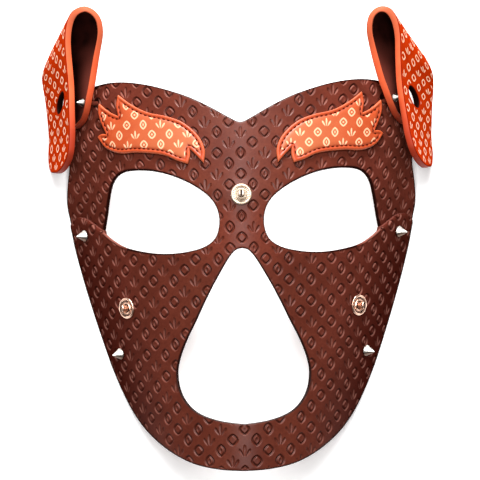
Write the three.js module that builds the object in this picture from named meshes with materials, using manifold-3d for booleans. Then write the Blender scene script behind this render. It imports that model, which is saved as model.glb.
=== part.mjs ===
// Fox mask: a sheet of embossed leather wrapped round the face, with two stitched brow pieces,
// two looped ears, six cone studs and three press-stud posts.
// Everything is worked out in the face frame: X to the viewer's right, Y up the face, Z out of the
// face, millimetres, with the nose bridge at the origin. The last lines lay the mask on its rim.
import * as THREE from 'three';
import { mergeVertices } from 'three/addons/utils/BufferGeometryUtils.js';
import Module from 'manifold-3d';

const wasm = await Module();
wasm.setup();

// Driving dimensions, millimetres and degrees
const leather = 2.8;          // mask leather
const browLeather = 2.0;      // brow pieces
const earLeather = 3.8;       // ear strips, outer leather and lining together
const gap = 0.3;              // clearance kept between neighbouring solids
const faceHalfWidth = 106.5;  // half width at the cheekbones, over the curve of the face
const temple = 1.5;           // extra half width above the side darts
const bridgeHeight = 77.5;    // nose bridge above the plane that the rim lies on
const restSlope = 0.23;       // slope of that plane up the face
const dartTuck = 12;          // how far the temple strip runs under the cheek panel
const lapDepth = 0.9 * leather;

const rad = THREE.MathUtils.degToRad;
const mix = THREE.MathUtils.lerp;
const smooth = (from, to, value) => THREE.MathUtils.smoothstep(value, from, to);

// The sheet: a ridge line that leans back at the forehead, and cross sections made of three arcs

function crown(y) {
  const above = y - 17.5;
  return 0.78 - 0.245 * (above + Math.hypot(above, 11));
}

function sectionArcs(y) {
  const up = smooth(-8, 96, y);
  const half = faceHalfWidth + temple * smooth(0, 15, y) - 54 * (Math.max(0, -y) / 150) ** 1.35;
  return [
    { radius: 45, until: rad(mix(14, 2, up)) },
    { radius: mix((half - 10.9) / 0.668, 150, up), until: rad(mix(62, 31, up)) },
    { radius: mix(60, 20, up), until: rad(mix(70, 71, up)) },
  ];
}

// Walks outwards along the section at height y and stops where `reach` says how far to go
function walkSection(y, reach) {
  let [x, z, angle, length] = [0, 0, 0, 0];
  for (const { radius, until } of sectionArcs(y)) {
    const turn = Math.max(0, reach(x, angle, radius, length));
    const end = Math.min(until, angle + turn);
    x += radius * (Math.sin(end) - Math.sin(angle));
    z -= radius * (Math.cos(angle) - Math.cos(end));
    length += radius * (end - angle);
    angle = end;
    if (end < until) return { x, z, angle, length, done: true };
  }
  return { x, z, angle, length, done: false };
}

// Point of the section at an arc length from the ridge
function sectionAt(length, y) {
  const at = walkSection(y, (x, angle, radius, sofar) => (length - sofar) / radius);
  if (at.done) return at;
  const rest = length - at.length;
  return { x: at.x + rest * Math.cos(at.angle), z: at.z - rest * Math.sin(at.angle), angle: at.angle };
}

// Arc length from the ridge at which the section reaches a distance x from the middle
function lengthAt(x, y) {
  const at = walkSection(y, (sofar, angle, radius) => {
    const sine = (x - sofar) / radius + Math.sin(angle);
    return sine >= 1 ? Math.PI : Math.asin(sine) - angle;
  });
  return at.done ? at.length : at.length + (x - at.x) / Math.cos(at.angle);
}

// Point of the sheet at arc length s (negative to the left), height y and height w off its face
function sheetPoint(s, y, w) {
  const side = s < 0 ? -1 : 1;
  const at = sectionAt(Math.abs(s), y);
  const step = 0.5;
  const above = sectionAt(Math.abs(s), y + step);
  const below = sectionAt(Math.abs(s), y - step);
  const dx = (above.x - below.x) / (2 * step);
  const dz = (above.z + crown(y + step) - below.z - crown(y - step)) / (2 * step);
  const [sine, cosine] = [Math.sin(at.angle), Math.cos(at.angle)];
  const normal = new THREE.Vector3(sine, -sine * dx - cosine * dz, cosine).normalize();
  const point = new THREE.Vector3(at.x, y, crown(y) + at.z).addScaledVector(normal, w);
  return { point: new THREE.Vector3(side * point.x, point.y, point.z),
    normal: new THREE.Vector3(side * normal.x, normal.y, normal.z) };
}

// Sheet coordinates of the point that shows at (x, y) from the front, w above the sheet
function sheetUnder(x, y, w) {
  let [px, py] = [Math.abs(x), y];
  for (let round = 0; round < 6; round += 1) {
    const { point } = sheetPoint(lengthAt(px, py), py, w);
    px = Math.max(0, px + Math.abs(x) - point.x);
    py += y - point.y;
  }
  return { s: Math.sign(x) * lengthAt(px, py), y: py };
}

// The side dart: the cheek panel's upper edge, which laps over the temple strip

const dartLine = new THREE.SplineCurve([
  [80, -7.5], [83, -6.6], [87, -3.9], [90.5, -1.4], [93.5, 1], [97, 2.5], [100.5, 2.6], [103.3, 0], [106, -5],
].map(([x, y]) => new THREE.Vector2(x, y)));
const dartPoints = dartLine.getPoints(60);

function dartHeight(x) {
  const after = dartPoints.findIndex((point) => point.x >= x);
  if (after < 0) return dartPoints.at(-1).y;
  if (after === 0) return dartPoints[0].y;
  const [a, b] = [dartPoints[after - 1], dartPoints[after]];
  return mix(a.y, b.y, (x - a.x) / (b.x - a.x));
}

// How far the temple strip is pressed in to pass under the cheek panel, v above the dart
function lapAt(s, v) {
  const x = sectionAt(Math.abs(s), 0).x;
  return lapDepth * smooth(35, 75, x) * (1 - smooth(8, 55, v));
}

const dartAt = (s) => dartHeight(sectionAt(Math.abs(s), 0).x);
const faceOffset = (s, v) => (v > 0 ? -lapAt(s, v) : 0);
const backOffset = (s, v) => -leather - (v > -dartTuck ? lapAt(s, v) : 0);

// Meshes and booleans

function geometryOf(positions, triangles) {
  const geometry = new THREE.BufferGeometry();
  geometry.setAttribute('position', new THREE.Float32BufferAttribute(positions, 3));
  geometry.setIndex(triangles);
  return geometry;
}

function solidOf(geometry) {
  const bare = geometry.clone();
  bare.deleteAttribute('normal');
  bare.deleteAttribute('uv');
  const merged = mergeVertices(bare, 1e-4);
  return new wasm.Manifold(new wasm.Mesh({
    numProp: 3,
    vertProperties: new Float32Array(merged.attributes.position.array),
    triVerts: new Uint32Array(merged.index.array),
  }));
}

function geometryFrom(solid) {
  const mesh = solid.getMesh();
  return geometryOf(Array.from(mesh.vertProperties), Array.from(mesh.triVerts));
}

// Cap of a ring that is seen from the front, and of a flat ring of pairs, front and back of a strip
const outlineCap = (ring) => THREE.ShapeUtils.triangulateShape(
  ring.map((point) => new THREE.Vector2(point.x, point.y)), []);
const stripCap = (ring) => {
  const last = ring.length - 1;
  return ring.slice(0, ring.length / 2 - 1).flatMap((_, k) => [
    [k, k + 1, last - k - 1], [k, last - k - 1, last - k]]);
};

// Closed body from rings of equal count, joined one to the next, with both ends capped
function ringBody(rings, cap) {
  const count = rings[0].length;
  const positions = rings.flat().flatMap((point) => point.toArray());
  const triangles = [];
  for (let r = 0; r < rings.length - 1; r += 1) {
    for (let i = 0; i < count; i += 1) {
      const j = (i + 1) % count;
      const [a, b, c, d] = [r * count + i, r * count + j, (r + 1) * count + j, (r + 1) * count + i];
      triangles.push(a, b, c, a, c, d);
    }
  }
  const last = (rings.length - 1) * count;
  for (const [a, b, c] of cap(rings[0])) triangles.push(c, b, a);
  for (const [a, b, c] of cap(rings.at(-1))) triangles.push(last + a, last + b, last + c);
  return geometryOf(positions, triangles);
}

// Sheet of leather over a grid of arc lengths and heights, between a back and a face offset
function sheetSlab(lengths, heights, back, face, heightAt) {
  const grid = (offset) => heights.map((v) => lengths.map(
    (s) => sheetPoint(s, heightAt(s, v), offset(s, v)).point));
  const [low, high] = [grid(back).flat(), grid(face).flat()];
  const positions = [...low, ...high].flatMap((point) => point.toArray());
  const [columns, rows] = [lengths.length, heights.length];
  const lift = columns * rows;
  const triangles = [];
  const quad = (a, b, c, d) => triangles.push(a, b, c, a, c, d);
  for (let r = 0; r < rows - 1; r += 1) {
    for (let c = 0; c < columns - 1; c += 1) {
      const [a, b] = [r * columns + c, r * columns + c + 1];
      const [d, e] = [a + columns, b + columns];
      quad(lift + a, lift + b, lift + e, lift + d);
      quad(b, a, d, e);
    }
    const [left, right] = [r * columns, (r + 1) * columns - 1];
    quad(left, lift + left, lift + left + columns, left + columns);
    quad(lift + right, right, right + columns, lift + right + columns);
  }
  for (let c = 0; c < columns - 1; c += 1) {
    const top = (rows - 1) * columns + c;
    quad(c, c + 1, lift + c + 1, lift + c);
    quad(top + 1, top, lift + top, lift + top + 1);
  }
  return geometryOf(positions, triangles);
}

// Punch that cuts square to the sheet along an outline seen from the front
function punch(outline, faceAt, backAt) {
  const reach = 2.5;
  const high = [];
  const low = [];
  for (const { x, y } of outline) {
    let at = sheetUnder(x, y, 0);
    const offset = faceAt(at.s, at.y - dartAt(at.s));
    at = sheetUnder(x, y, offset);
    high.push(sheetPoint(at.s, at.y, offset + reach).point);
    low.push(sheetPoint(at.s, at.y, backAt - reach).point);
  }
  const level = (ring, z) => ring.map((point) => new THREE.Vector3(point.x, point.y, z));
  return ringBody([level(low, -180), low, high, level(high, 80)], outlineCap);
}

// Outlines, half of each given for the wearer's left side of the picture and mirrored

const vectors = (pairs) => pairs.map(([x, y]) => new THREE.Vector2(x, y));

// Smooth runs through the given points, with a sharp corner wherever one run ends
function runsOutline(runs, spacing) {
  const points = [];
  for (const run of runs) {
    const curve = new THREE.SplineCurve(vectors(run));
    const steps = Math.max(1, Math.round(curve.getLength() / spacing));
    points.push(...curve.getSpacedPoints(steps).slice(0, -1));
  }
  return THREE.ShapeUtils.isClockWise(points) ? points.reverse() : points;
}

const mirrored = (outline) => outline.map(({ x, y }) => new THREE.Vector2(-x, y)).reverse();
const mirrorRun = (run) => run.map(([x, y]) => [-x, y]).reverse();

const foreheadRun = [[0, 58.8], [2.2, 59.3], [7, 61.8], [18, 68.1], [30, 74], [42, 78.3], [54, 81.7],
  [66, 83.8], [76, 84.2], [85, 83.1], [92, 81.3], [98.5, 76.5], [103, 68], [106, 58], [106.2, 46],
  [104.2, 35], [105.2, 24], [105.9, 14], [105.2, 5], [104, -1.5]];
const cheekRun = [[104, -1.5], [103.9, -8], [101.4, -18], [97.9, -30], [94.4, -42], [90.9, -54.5],
  [87.5, -66], [83.4, -78], [78.7, -89.5], [73.4, -102], [67, -114.5], [59.5, -125], [50.5, -133.5],
  [40, -140.5], [28.5, -145.3], [14, -148], [0, -148.8]];
const eyeRuns = [[[83, -6.8], [81.2, 3], [79.6, 13], [77.4, 22.5], [73, 28.3], [66, 30.4], [54, 30.1],
  [42, 27.2], [30, 21.8], [20, 14.6], [14.8, 7], [13.5, -2], [16, -10.6], [23, -15.9], [34, -18.7],
  [46, -19.6], [58, -18.5], [70, -15.6], [78, -11], [83, -6.8]]];
const muzzleRun = [[0, -16.8], [4, -18], [8.5, -23.2], [16, -35.7], [22.3, -47.6], [28, -59.4],
  [34, -71.4], [38, -82], [39.5, -91], [38, -100.8], [33.5, -109], [26, -115], [14, -119], [0, -120.9]];
const browRuns = [
  [[85.5, 71.6], [79.5, 66.5], [73.6, 63.5]],
  [[73.6, 63.5], [74.8, 70], [73.6, 76.5]],
  [[73.6, 76.5], [65.9, 70.6], [56, 65.5], [44, 62.7], [34.2, 58.7], [25.6, 51], [21.7, 42.5], [22.4, 34.3]],
  [[22.4, 34.3], [26.2, 38.6], [30.6, 43.1]],
  [[30.6, 43.1], [30.6, 38.4], [32, 34.1]],
  [[32, 34.1], [38, 36], [47.2, 39.8], [61.9, 41.4], [73, 41.2], [81.3, 44.4], [86.5, 51.2]],
  [[86.5, 51.2], [84, 52.9], [81, 52.8]],
  [[81, 52.8], [84.3, 60], [85.8, 66], [85.5, 71.6]],
];

const maskOutline = runsOutline([foreheadRun, cheekRun, mirrorRun(cheekRun), mirrorRun(foreheadRun)], 7.5);
const eyeOutline = runsOutline(eyeRuns, 6);
const muzzleOutline = runsOutline([muzzleRun, mirrorRun(muzzleRun)], 7);
const browOutline = runsOutline(browRuns, 5.5);

// Hardware: places on the sheet as seen from the front, and sizes

const spots = {
  bridge: { x: 0, y: 15 },
  cheek: { x: 69, y: -51.8 },
  studUpper: { x: 94.4, y: -8.2 },
  studLower: { x: 73.4, y: -79.2 },
};
const stud = { base: 3.3, height: 6, rim: 0.7, shank: 1.4, head: 3.5, headDepth: 1.2, sides: 10 };
const snap = { flange: 6.25, post: 2.1, height: 5.2, shank: 2, cap: 6, capDepth: 1.4, sides: 14 };
const earPin = { along: 15, share: 0.14, size: 0.75 };   // smaller stud through each inner leg

// Turns a lathe profile of [radius, height] pairs into a closed geometry along +Z
function turned(profile, sides) {
  const lathe = new THREE.LatheGeometry(vectors(profile), sides);
  lathe.rotateX(Math.PI / 2);
  return lathe;
}

function studGeometry(shank, size) {
  return turned([[0, -shank], [stud.shank, -shank], [stud.shank, 0], [size * stud.base, 0],
    [size * stud.base, stud.rim], [0.5, size * stud.height - 0.4], [0, size * stud.height]], stud.sides);
}

function screwGeometry() {
  return turned([[0, -stud.headDepth], [stud.head - 0.4, -stud.headDepth],
    [stud.head, -stud.headDepth + 0.4], [stud.head, 0], [0, 0]], stud.sides);
}

function snapGeometry(shank) {
  const { flange, post, height } = snap;
  return turned([[0, -shank], [snap.shank, -shank], [snap.shank, 0], [flange, 0], [flange, 0.6],
    [flange - 0.6, 1.1], [flange - 1.6, 1.1], [flange - 2.1, 0.7], [post + 0.6, 0.7],
    [post - 0.3, height - 1.9], [post, height - 1.1], [post - 0.3, height], [0, height]], snap.sides);
}

function capGeometry() {
  return turned([[0, -snap.capDepth], [snap.cap - 1, -snap.capDepth], [snap.cap, -snap.capDepth + 0.8],
    [snap.cap, 0], [0, 0]], snap.sides);
}

// Seat for hardware: a point, the direction that its Z axis takes and the turn to it
function seatAt(point, normal) {
  const turn = new THREE.Quaternion().setFromUnitVectors(new THREE.Vector3(0, 0, 1), normal);
  return { point, normal, turn };
}

function seatOn(x, y) {
  const at = sheetUnder(x, y, 0);
  const { point, normal } = sheetPoint(at.s, at.y, 0);
  return seatAt(point, normal);
}

function mirroredSeat({ point, normal }) {
  const mirror = new THREE.Vector3(-1, 1, 1);
  return seatAt(point.clone().multiply(mirror), normal.clone().multiply(mirror));
}

function drill(seat, radius, depth) {
  const bore = new THREE.CylinderGeometry(radius, radius, 2 * depth, 8);
  bore.rotateX(Math.PI / 2);
  bore.applyQuaternion(seat.turn);
  bore.translate(...seat.point.toArray());
  return solidOf(bore);
}

// Ears: a strip of leather looped over, pointed at both ends. The path is the front edge seen from
// the front, from the tip pinned to the temple, up the inner leg, over the fold and down the outer
// flap. `lean` says, at places along the path, how far the back edge stands outwards and down, and
// the height of the front edge in the face frame.

const ears = {
  left: {
    path: [[92.4, 57], [91, 66], [90.1, 75.3], [88.5, 84.3], [85.8, 99], [83.6, 109.5], [83.1, 115.5],
      [84.1, 121.5], [86.5, 125.4], [89.6, 127.7], [93, 128.6], [97.4, 127], [100.1, 123.9], [101.7, 119.4],
      [102.7, 112.8], [102.7, 104], [101.1, 82.4], [100.8, 67.4], [100.6, 55.4], [101, 46], [103, 29.5]],
    lean: [[0, 12, 0, -54], [36, 15, 1, -54], [52, 18.5, 12, -54], [77, 12.5, 20, -55], [90, 11.5, 20, -55],
      [100, 13.5, 16.5, -53], [110, 15.5, 12.5, -51], [124, 16, 8, -48], [143, 14.6, 3, -44],
      [160, 13.8, 0, -41], [181, 13, 0, -38]],
    hole: 137,
  },
  right: {
    path: [[92.4, 57], [90.4, 66], [87.4, 77], [85.3, 83.1], [82.4, 93.5], [79.6, 104.8], [78.3, 112.1],
      [78.6, 118.1], [80.2, 122.6], [83.4, 125.5], [86.8, 126.1], [90.1, 124.8], [92.8, 120.9],
      [94.4, 115.4], [95.2, 108.2], [95.2, 98], [95.6, 82.6], [96.9, 70.6], [98.7, 58.6], [100.5, 48.4],
      [105.5, 30]],
    lean: [[0, 12, 0, -54], [38, 13, 2, -54], [54, 16, 12, -54], [75, 12.5, 19, -55], [84, 13, 18, -54],
      [93, 17, 17.5, -52], [106, 21.2, 12.5, -50], [122, 20.5, 7, -48], [134, 18.2, 3.5, -46],
      [147, 15.8, 1, -44], [157, 13.6, 0, -42], [176, 10.5, 0, -39]],
    hole: 131,
  },
};
const ear = {
  legWidth: 36,     // width of the strip at the inner leg
  foldWidth: 34,    // width at the fold
  flapWidth: 43,    // width at the knee of the flap
  pinnedTip: 27,    // length of the pointed end on the temple
  looseTip: 15,     // length of the rounded end of the flap
  holeRadius: 6.3,
  holeShare: 0.37,  // place of the hole across the flap
  foldShare: 0.435, // place of the fold along the path
  legPivot: 0.5,    // place across the strip that the pointed end narrows towards
  flapPivot: 0.66,  // and that the rounded end narrows towards
  tipRoundness: 2.2,
  wallGap: 0.9,     // between the inner leg and the mask
  stations: 34,
};

function leanAt(table, along) {
  const next = table.findIndex(([at]) => at >= along);
  if (next === 0) return table[0].slice(1);
  if (next < 0) return table.at(-1).slice(1);
  const [[a, ...from], [b, ...to]] = [table[next - 1], table[next]];
  const share = smooth(0, 1, (along - a) / (b - a));
  return from.map((value, i) => mix(value, to[i], share));
}

// Distance from the middle at which the mask's wall passes a height z
function wallAt(y, z) {
  let [near, far] = [0, 160];
  for (let round = 0; round < 30; round += 1) {
    const middle = (near + far) / 2;
    const at = sectionAt(middle, y);
    if (crown(y) + at.z > z) near = middle; else far = middle;
  }
  return sectionAt(near, y).x;
}

// Front edge of the inner leg where it lies against the mask, clear of the wall over its whole depth
function legClear(x, y, front, splayRate) {
  let clear = x;
  for (let depth = 6; depth <= ear.legWidth; depth += 4) {
    const wall = wallAt(y, front - depth) - depth * splayRate;
    clear = Math.max(clear, wall + earLeather / 2 + ear.wallGap);
  }
  return clear;
}

function earStations(form) {
  const curve = new THREE.SplineCurve(vectors(form.path));
  const length = curve.getLength();
  const fold = length * ear.foldShare;
  const stations = [];
  for (let i = 0; i <= ear.stations; i += 1) {
    const along = mix(0.4, length - 0.4, i / ear.stations);
    const { x, y } = curve.getPointAt(along / length);
    const fromFold = Math.abs(along - fold);
    const inner = along < fold;
    const knee = inner ? ear.legWidth : ear.flapWidth;
    const width = mix(ear.foldWidth, knee, smooth(10, 40, fromFold));
    const tip = inner ? ear.pinnedTip : ear.looseTip;
    const fromTip = Math.min(inner ? along : length - along, tip) / tip;
    const open = Math.sqrt(1 - (1 - fromTip) ** ear.tipRoundness);
    const pivot = inner ? ear.legPivot : ear.flapPivot;
    const [out, down, front] = leanAt(form.lean, along);
    const depth = Math.sqrt(width ** 2 - out ** 2 - down ** 2);
    const edge = inner && y < 90 ? legClear(x, y, front, out / depth) : x;
    const at = (share) => {
      const back = pivot + (share - pivot) * open;
      return new THREE.Vector3(edge + out * back, y - down * back, front - depth * back);
    };
    stations.push({ at, along });
  }
  return stations;
}

function earGeometry(form) {
  const stations = earStations(form);
  const shares = [0, 0.04, 0.5, 0.96, 1];
  const inset = [0.62, 1, 1, 1, 0.62];
  const rings = stations.map((station, i) => {
    const before = stations[Math.max(0, i - 1)];
    const after = stations[Math.min(stations.length - 1, i + 1)];
    const along = (share) => after.at(share).sub(before.at(share));
    const across = station.at(1).sub(station.at(0));
    const side = (sign) => shares.map((share, k) => {
      const normal = along(share).cross(across).normalize();
      return station.at(share).addScaledVector(normal, sign * inset[k] * earLeather / 2);
    });
    return [...side(-1), ...side(1).reverse()];
  });
  return ringBody(rings, stripCap);
}

// Seat on an ear's mid surface, `along` the path and at a share of its width, facing outwards
function earSeat(form, along, share) {
  const stations = earStations(form);
  const after = stations.findIndex((station) => station.along >= along);
  const [a, b] = [stations[after - 1], stations[after]];
  const point = a.at(share).lerp(b.at(share), (along - a.along) / (b.along - a.along));
  const across = b.at(1).sub(b.at(0));
  const normal = b.at(share).sub(a.at(share)).cross(across).normalize();
  return seatAt(point, normal.x < 0 ? normal.negate() : normal);
}

// How far below a seat the back of the mask lies, along the seat's own direction
function depthToBack({ point, normal }) {
  let best = { off: Infinity, depth: 0 };
  for (let s = 60; s < 140; s += 0.25) {
    const toBack = point.clone().sub(sheetPoint(s, point.y, -leather).point);
    const depth = toBack.dot(normal);
    const off = toBack.addScaledVector(normal, -depth).length();
    if (off < best.off) best = { off, depth };
  }
  return best.depth;
}

// Pieces: the leather is cut and drilled for the hardware, then the hardware is set in it

const leftAndRight = (name, seat, rest) => [
  { ...rest, name: `${name}_left`, side: 'left', seat: mirroredSeat(seat) },
  { ...rest, name: `${name}_right`, side: 'right', seat },
];
const lapped = leather + lapDepth;
const onMask = [
  ...leftAndRight('cheek_upper', seatOn(spots.studUpper.x, spots.studUpper.y), { kind: 'stud', through: lapped }),
  ...leftAndRight('cheek_lower', seatOn(spots.studLower.x, spots.studLower.y), { kind: 'stud', through: leather }),
  ...leftAndRight('cheek', seatOn(spots.cheek.x, spots.cheek.y), { kind: 'snap', through: leather }),
  { name: 'bridge', kind: 'snap', through: leather, seat: seatOn(spots.bridge.x, spots.bridge.y) },
];
const onEars = Object.entries(ears).map(([side, form]) => {
  const middle = earSeat(form, earPin.along, earPin.share);
  const outer = seatAt(middle.point.clone().addScaledVector(middle.normal, earLeather / 2), middle.normal);
  const seat = side === 'left' ? mirroredSeat(outer) : outer;
  return { name: `ear_${side}`, side, kind: 'stud', through: depthToBack(outer), seat };
});
const hardware = [...onMask, ...onEars];
const backGap = { stud: 0.3, ear: 1.9, snap: 0.8 };   // between the leather's back and each fixing
const boreFor = (kind) => (kind === 'stud' ? stud.shank : snap.shank) + gap;

function shellSolid() {
  const lengths = [];
  for (let column = -15; column <= 15; column += 1) lengths.push(column * 10);
  const heights = [-152, -144];
  for (let v = -134; v < -20; v += 12) heights.push(v);
  heights.push(-dartTuck - 0.4, -dartTuck + 0.4, -0.4, 0.4);
  for (let v = 9; v <= 98; v += 9.8) heights.push(v);
  let solid = solidOf(sheetSlab(lengths, heights, backOffset, faceOffset, (s, v) => v + dartAt(s)));
  solid = solid.intersect(solidOf(punch(maskOutline, faceOffset, -lapped)));
  for (const hole of [eyeOutline, mirrored(eyeOutline), muzzleOutline]) {
    solid = solid.subtract(solidOf(punch(hole, faceOffset, -lapped)));
  }
  for (const { kind, seat, through } of hardware) {
    solid = solid.subtract(drill(seat, boreFor(kind), through + 4));
  }
  return solid.subtract(floorBlock()).simplify(0.1);
}

function browSolid(outline) {
  const side = Math.sign(outline[0].x);
  const lengths = [];
  for (let length = 18; length <= 114; length += 8) lengths.push(side * length);
  if (side < 0) lengths.reverse();
  const heights = [28, 37, 46, 55, 64, 73, 82];
  const under = (s, y) => faceOffset(s, y - dartAt(s)) + gap;
  const slab = sheetSlab(lengths, heights, under, (s, y) => under(s, y) + browLeather, (s, y) => y);
  const top = (s, v) => faceOffset(s, v) + gap + browLeather;
  return solidOf(slab).intersect(solidOf(punch(outline, top, 0))).simplify(0.08);
}

function earSolid(side) {
  const geometry = earGeometry(ears[side]);
  let solid = solidOf(geometry);
  const hole = earSeat(ears[side], ears[side].hole, ear.holeShare);
  solid = solid.subtract(drill(hole, ear.holeRadius, 8));
  if (side === 'left') solid = solid.mirror([1, 0, 0]);
  const pin = onEars.find((item) => item.side === side);
  return solid.subtract(drill(pin.seat, boreFor('stud'), pin.through)).simplify(0.08);
}

// Plane that the rim lies on, as a block with everything below it
function floorBlock() {
  const block = new THREE.BoxGeometry(400, 500, 100);
  block.translate(0, 0, -50);
  block.rotateX(-Math.atan(restSlope));
  block.translate(0, 0, -bridgeHeight);
  return solidOf(block);
}

// Scene

const look = (color, roughness, metalness = 0) => new THREE.MeshStandardMaterial(
  { color, roughness, metalness });
const brownLeather = look(0x7a4236, 0.45);
const orangeLeather = look(0xf0703c, 0.5);
const paleMetal = look(0xeee6cc, 0.3, 0.8);
const roseMetal = look(0xd9a089, 0.3, 0.9);

const face = new THREE.Group();

function addMesh(name, geometry, material) {
  const mesh = new THREE.Mesh(geometry, material);
  mesh.name = name;
  face.add(mesh);
  return mesh;
}

function addOnSeat(name, geometry, material, seat, height) {
  const mesh = addMesh(name, geometry, material);
  mesh.position.copy(seat.point).addScaledVector(seat.normal, height);
  mesh.quaternion.copy(seat.turn);
}

addMesh('mask_shell', geometryFrom(shellSolid()), brownLeather);
addMesh('brow_left', geometryFrom(browSolid(mirrored(browOutline))), orangeLeather);
addMesh('brow_right', geometryFrom(browSolid(browOutline)), orangeLeather);
addMesh('ear_left', geometryFrom(earSolid('left')), orangeLeather);
addMesh('ear_right', geometryFrom(earSolid('right')), orangeLeather);

for (const { name, kind, through, seat } of hardware) {
  if (kind === 'stud') {
    const clear = name.startsWith('ear') ? backGap.ear : backGap.stud;
    const size = name.startsWith('ear') ? earPin.size : 1;
    addOnSeat(`stud_${name}`, studGeometry(through + gap + clear, size), paleMetal, seat, gap);
    addOnSeat(`screw_${name}`, screwGeometry(), paleMetal, seat, -through - gap - clear);
  } else {
    const clear = backGap.snap;
    const metal = name === 'bridge' ? paleMetal : roseMetal;
    addOnSeat(`snap_post_${name}`, snapGeometry(through + clear), metal, seat, gap);
    addOnSeat(`snap_cap_${name}`, capGeometry(), metal, seat, -through - gap - clear);
  }
}

// Lay the mask on its rim, with the origin under the middle of its outline

const tilt = Math.atan(restSlope);
const middle = { x: -0.85, y: -3.47 };
face.rotation.x = tilt;
face.position.set(-middle.x, -middle.y, bridgeHeight * Math.cos(tilt));
const group = new THREE.Group();
group.add(face);

export default group;
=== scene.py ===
# %% [markdown]
# # A leather fox mask, lying face up
# The real object is a sheet of embossed leather wrapped round the face, with two stitched brow
# pieces, two looped ears and metal fittings. The CAD model gives the places and sizes, and this
# script dresses it: every piece of leather is cut from a flat pattern and bent over the same
# curved sheet that the CAD part uses, so nothing has to be fitted by eye.

# %% Load the CAD frame
import math
import bpy
import numpy as np
from mathutils import Matrix, Vector, geometry, kdtree


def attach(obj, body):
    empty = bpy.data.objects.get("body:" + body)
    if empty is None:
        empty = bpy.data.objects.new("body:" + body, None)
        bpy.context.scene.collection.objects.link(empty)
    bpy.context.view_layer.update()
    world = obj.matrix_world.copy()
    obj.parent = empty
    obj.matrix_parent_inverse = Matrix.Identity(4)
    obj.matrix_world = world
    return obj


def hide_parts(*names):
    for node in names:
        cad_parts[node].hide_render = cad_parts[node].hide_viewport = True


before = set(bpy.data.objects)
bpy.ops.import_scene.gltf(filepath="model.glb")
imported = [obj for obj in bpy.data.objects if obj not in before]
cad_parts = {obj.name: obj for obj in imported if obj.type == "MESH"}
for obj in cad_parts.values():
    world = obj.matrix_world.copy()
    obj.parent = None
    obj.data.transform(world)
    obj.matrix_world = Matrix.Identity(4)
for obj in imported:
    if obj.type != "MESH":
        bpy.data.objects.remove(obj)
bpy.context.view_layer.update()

# %% [markdown]
# ## From the face to the floor
# The mask was drawn in a frame of its own: X across, Y up the face, Z out of it, in millimetres,
# with the origin at the nose bridge. Lying on its rim it is tilted a little, so one turn and one
# shift carry every point into the frame of the CAD part, in metres. Keeping that step in one
# function lets all the shaping below be done in easy numbers.

# %% Face frame to part frame
rest_slope = 0.23
bridge_height = 77.5
tilt = math.atan(rest_slope)
face_to_part = (Matrix.Translation((0.85, 3.47, bridge_height * math.cos(tilt)))
                @ Matrix.Rotation(tilt, 4, "X"))
turn_to_part = np.array(face_to_part.to_3x3())
shift_to_part = np.array(face_to_part.translation)


def to_part(points):
    return (points @ turn_to_part.T + shift_to_part) * 0.001


print("tilt of the lying mask, degrees:", round(math.degrees(tilt), 2))

# %% [markdown]
# ## The camera
# The photograph looks straight at the face from far away with a long lens, rolled by less than
# one degree. A camera far off with a narrow angle gives the same nearly parallel view.

# %% Camera
roll = math.radians(0.8)
view_point = np.array([-1.13, -12.0, 3155])    # in the face frame, 3.2 metres out
camera_data = bpy.data.cameras.new("camera")
camera_data.lens = 400
camera_data.sensor_width = 36
camera_data.clip_end = 20
camera = bpy.data.objects.new("camera", camera_data)
bpy.context.scene.collection.objects.link(camera)
to_right = turn_to_part @ np.array([math.cos(roll), -math.sin(roll), 0])
to_top = turn_to_part @ np.array([math.sin(roll), math.cos(roll), 0])
to_back = turn_to_part @ np.array([0, 0, 1])
camera_matrix = Matrix((to_right, to_top, to_back)).transposed().to_4x4()
camera_matrix.translation = to_part(view_point)
camera.matrix_world = camera_matrix
bpy.context.scene.camera = camera
print("camera at", [round(value, 3) for value in camera.location])

# %% [markdown]
# ## Light and floor
# Three round softboxes stand in a row over the middle of the mask. The low one, beyond the
# forehead, is the strongest: it rakes over the leather, so each pressed groove gets a dark upper lip
# and a light lower one, and the cheeks fall off into deep brown. The high one and the front one
# soften it, and a dim even world fills what is left. The leather's colour adds painted shade and
# painted highlight to the grooves and painted shade to the cheeks. The floor is a pale sheet
# that glows a little, which keeps the shadows on it faint, as they are when a thing is lit on a
# light table.

# %% Softboxes
softbox_size = 1.0
mask_middle = Vector((0, 0, 0.04))


def softbox(name, place, power):
    """A round lamp that points at the middle of the mask"""
    data = bpy.data.lights.new(name, "AREA")
    data.shape = "DISK"
    data.size = softbox_size
    data.energy = power
    lamp = bpy.data.objects.new(name, data)
    bpy.context.scene.collection.objects.link(lamp)
    lamp.location = place
    lamp.rotation_mode = "QUATERNION"
    lamp.rotation_quaternion = (mask_middle - Vector(place)).to_track_quat("-Z", "Y")


softbox("low_light", (0.0, 1.86, 0.9), 92)
softbox("high_light", (0.0, 0.66, 1.95), 42)
softbox("front_light", (0.0, -0.45, 2.4), 24)

# %% World and floor
world = bpy.data.worlds.new("studio")
world.use_nodes = True
background = world.node_tree.nodes["Background"]
background.inputs["Color"].default_value = (1.0, 0.99, 0.98, 1)
background.inputs["Strength"].default_value = 0.08
bpy.context.scene.world = world
bpy.context.scene.view_settings.view_transform = "Standard"

floor_mesh = bpy.data.meshes.new("floor")
reach = 4.0
floor_corners = [(-reach, -reach, 0), (reach, -reach, 0), (reach, reach, 0), (-reach, reach, 0)]
floor_mesh.from_pydata(floor_corners, [], [(0, 1, 2, 3)])
floor = bpy.data.objects.new("floor", floor_mesh)
bpy.context.scene.collection.objects.link(floor)
print("floor, metres across:", 2 * reach)

# %% [markdown]
# ## Shader sums written as Python
# Node trees are easier to read as expressions. The class below wraps one socket: adding or
# multiplying two of them adds a Math node, and `node` makes any other node from its type, its
# settings and what goes into its sockets.


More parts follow.
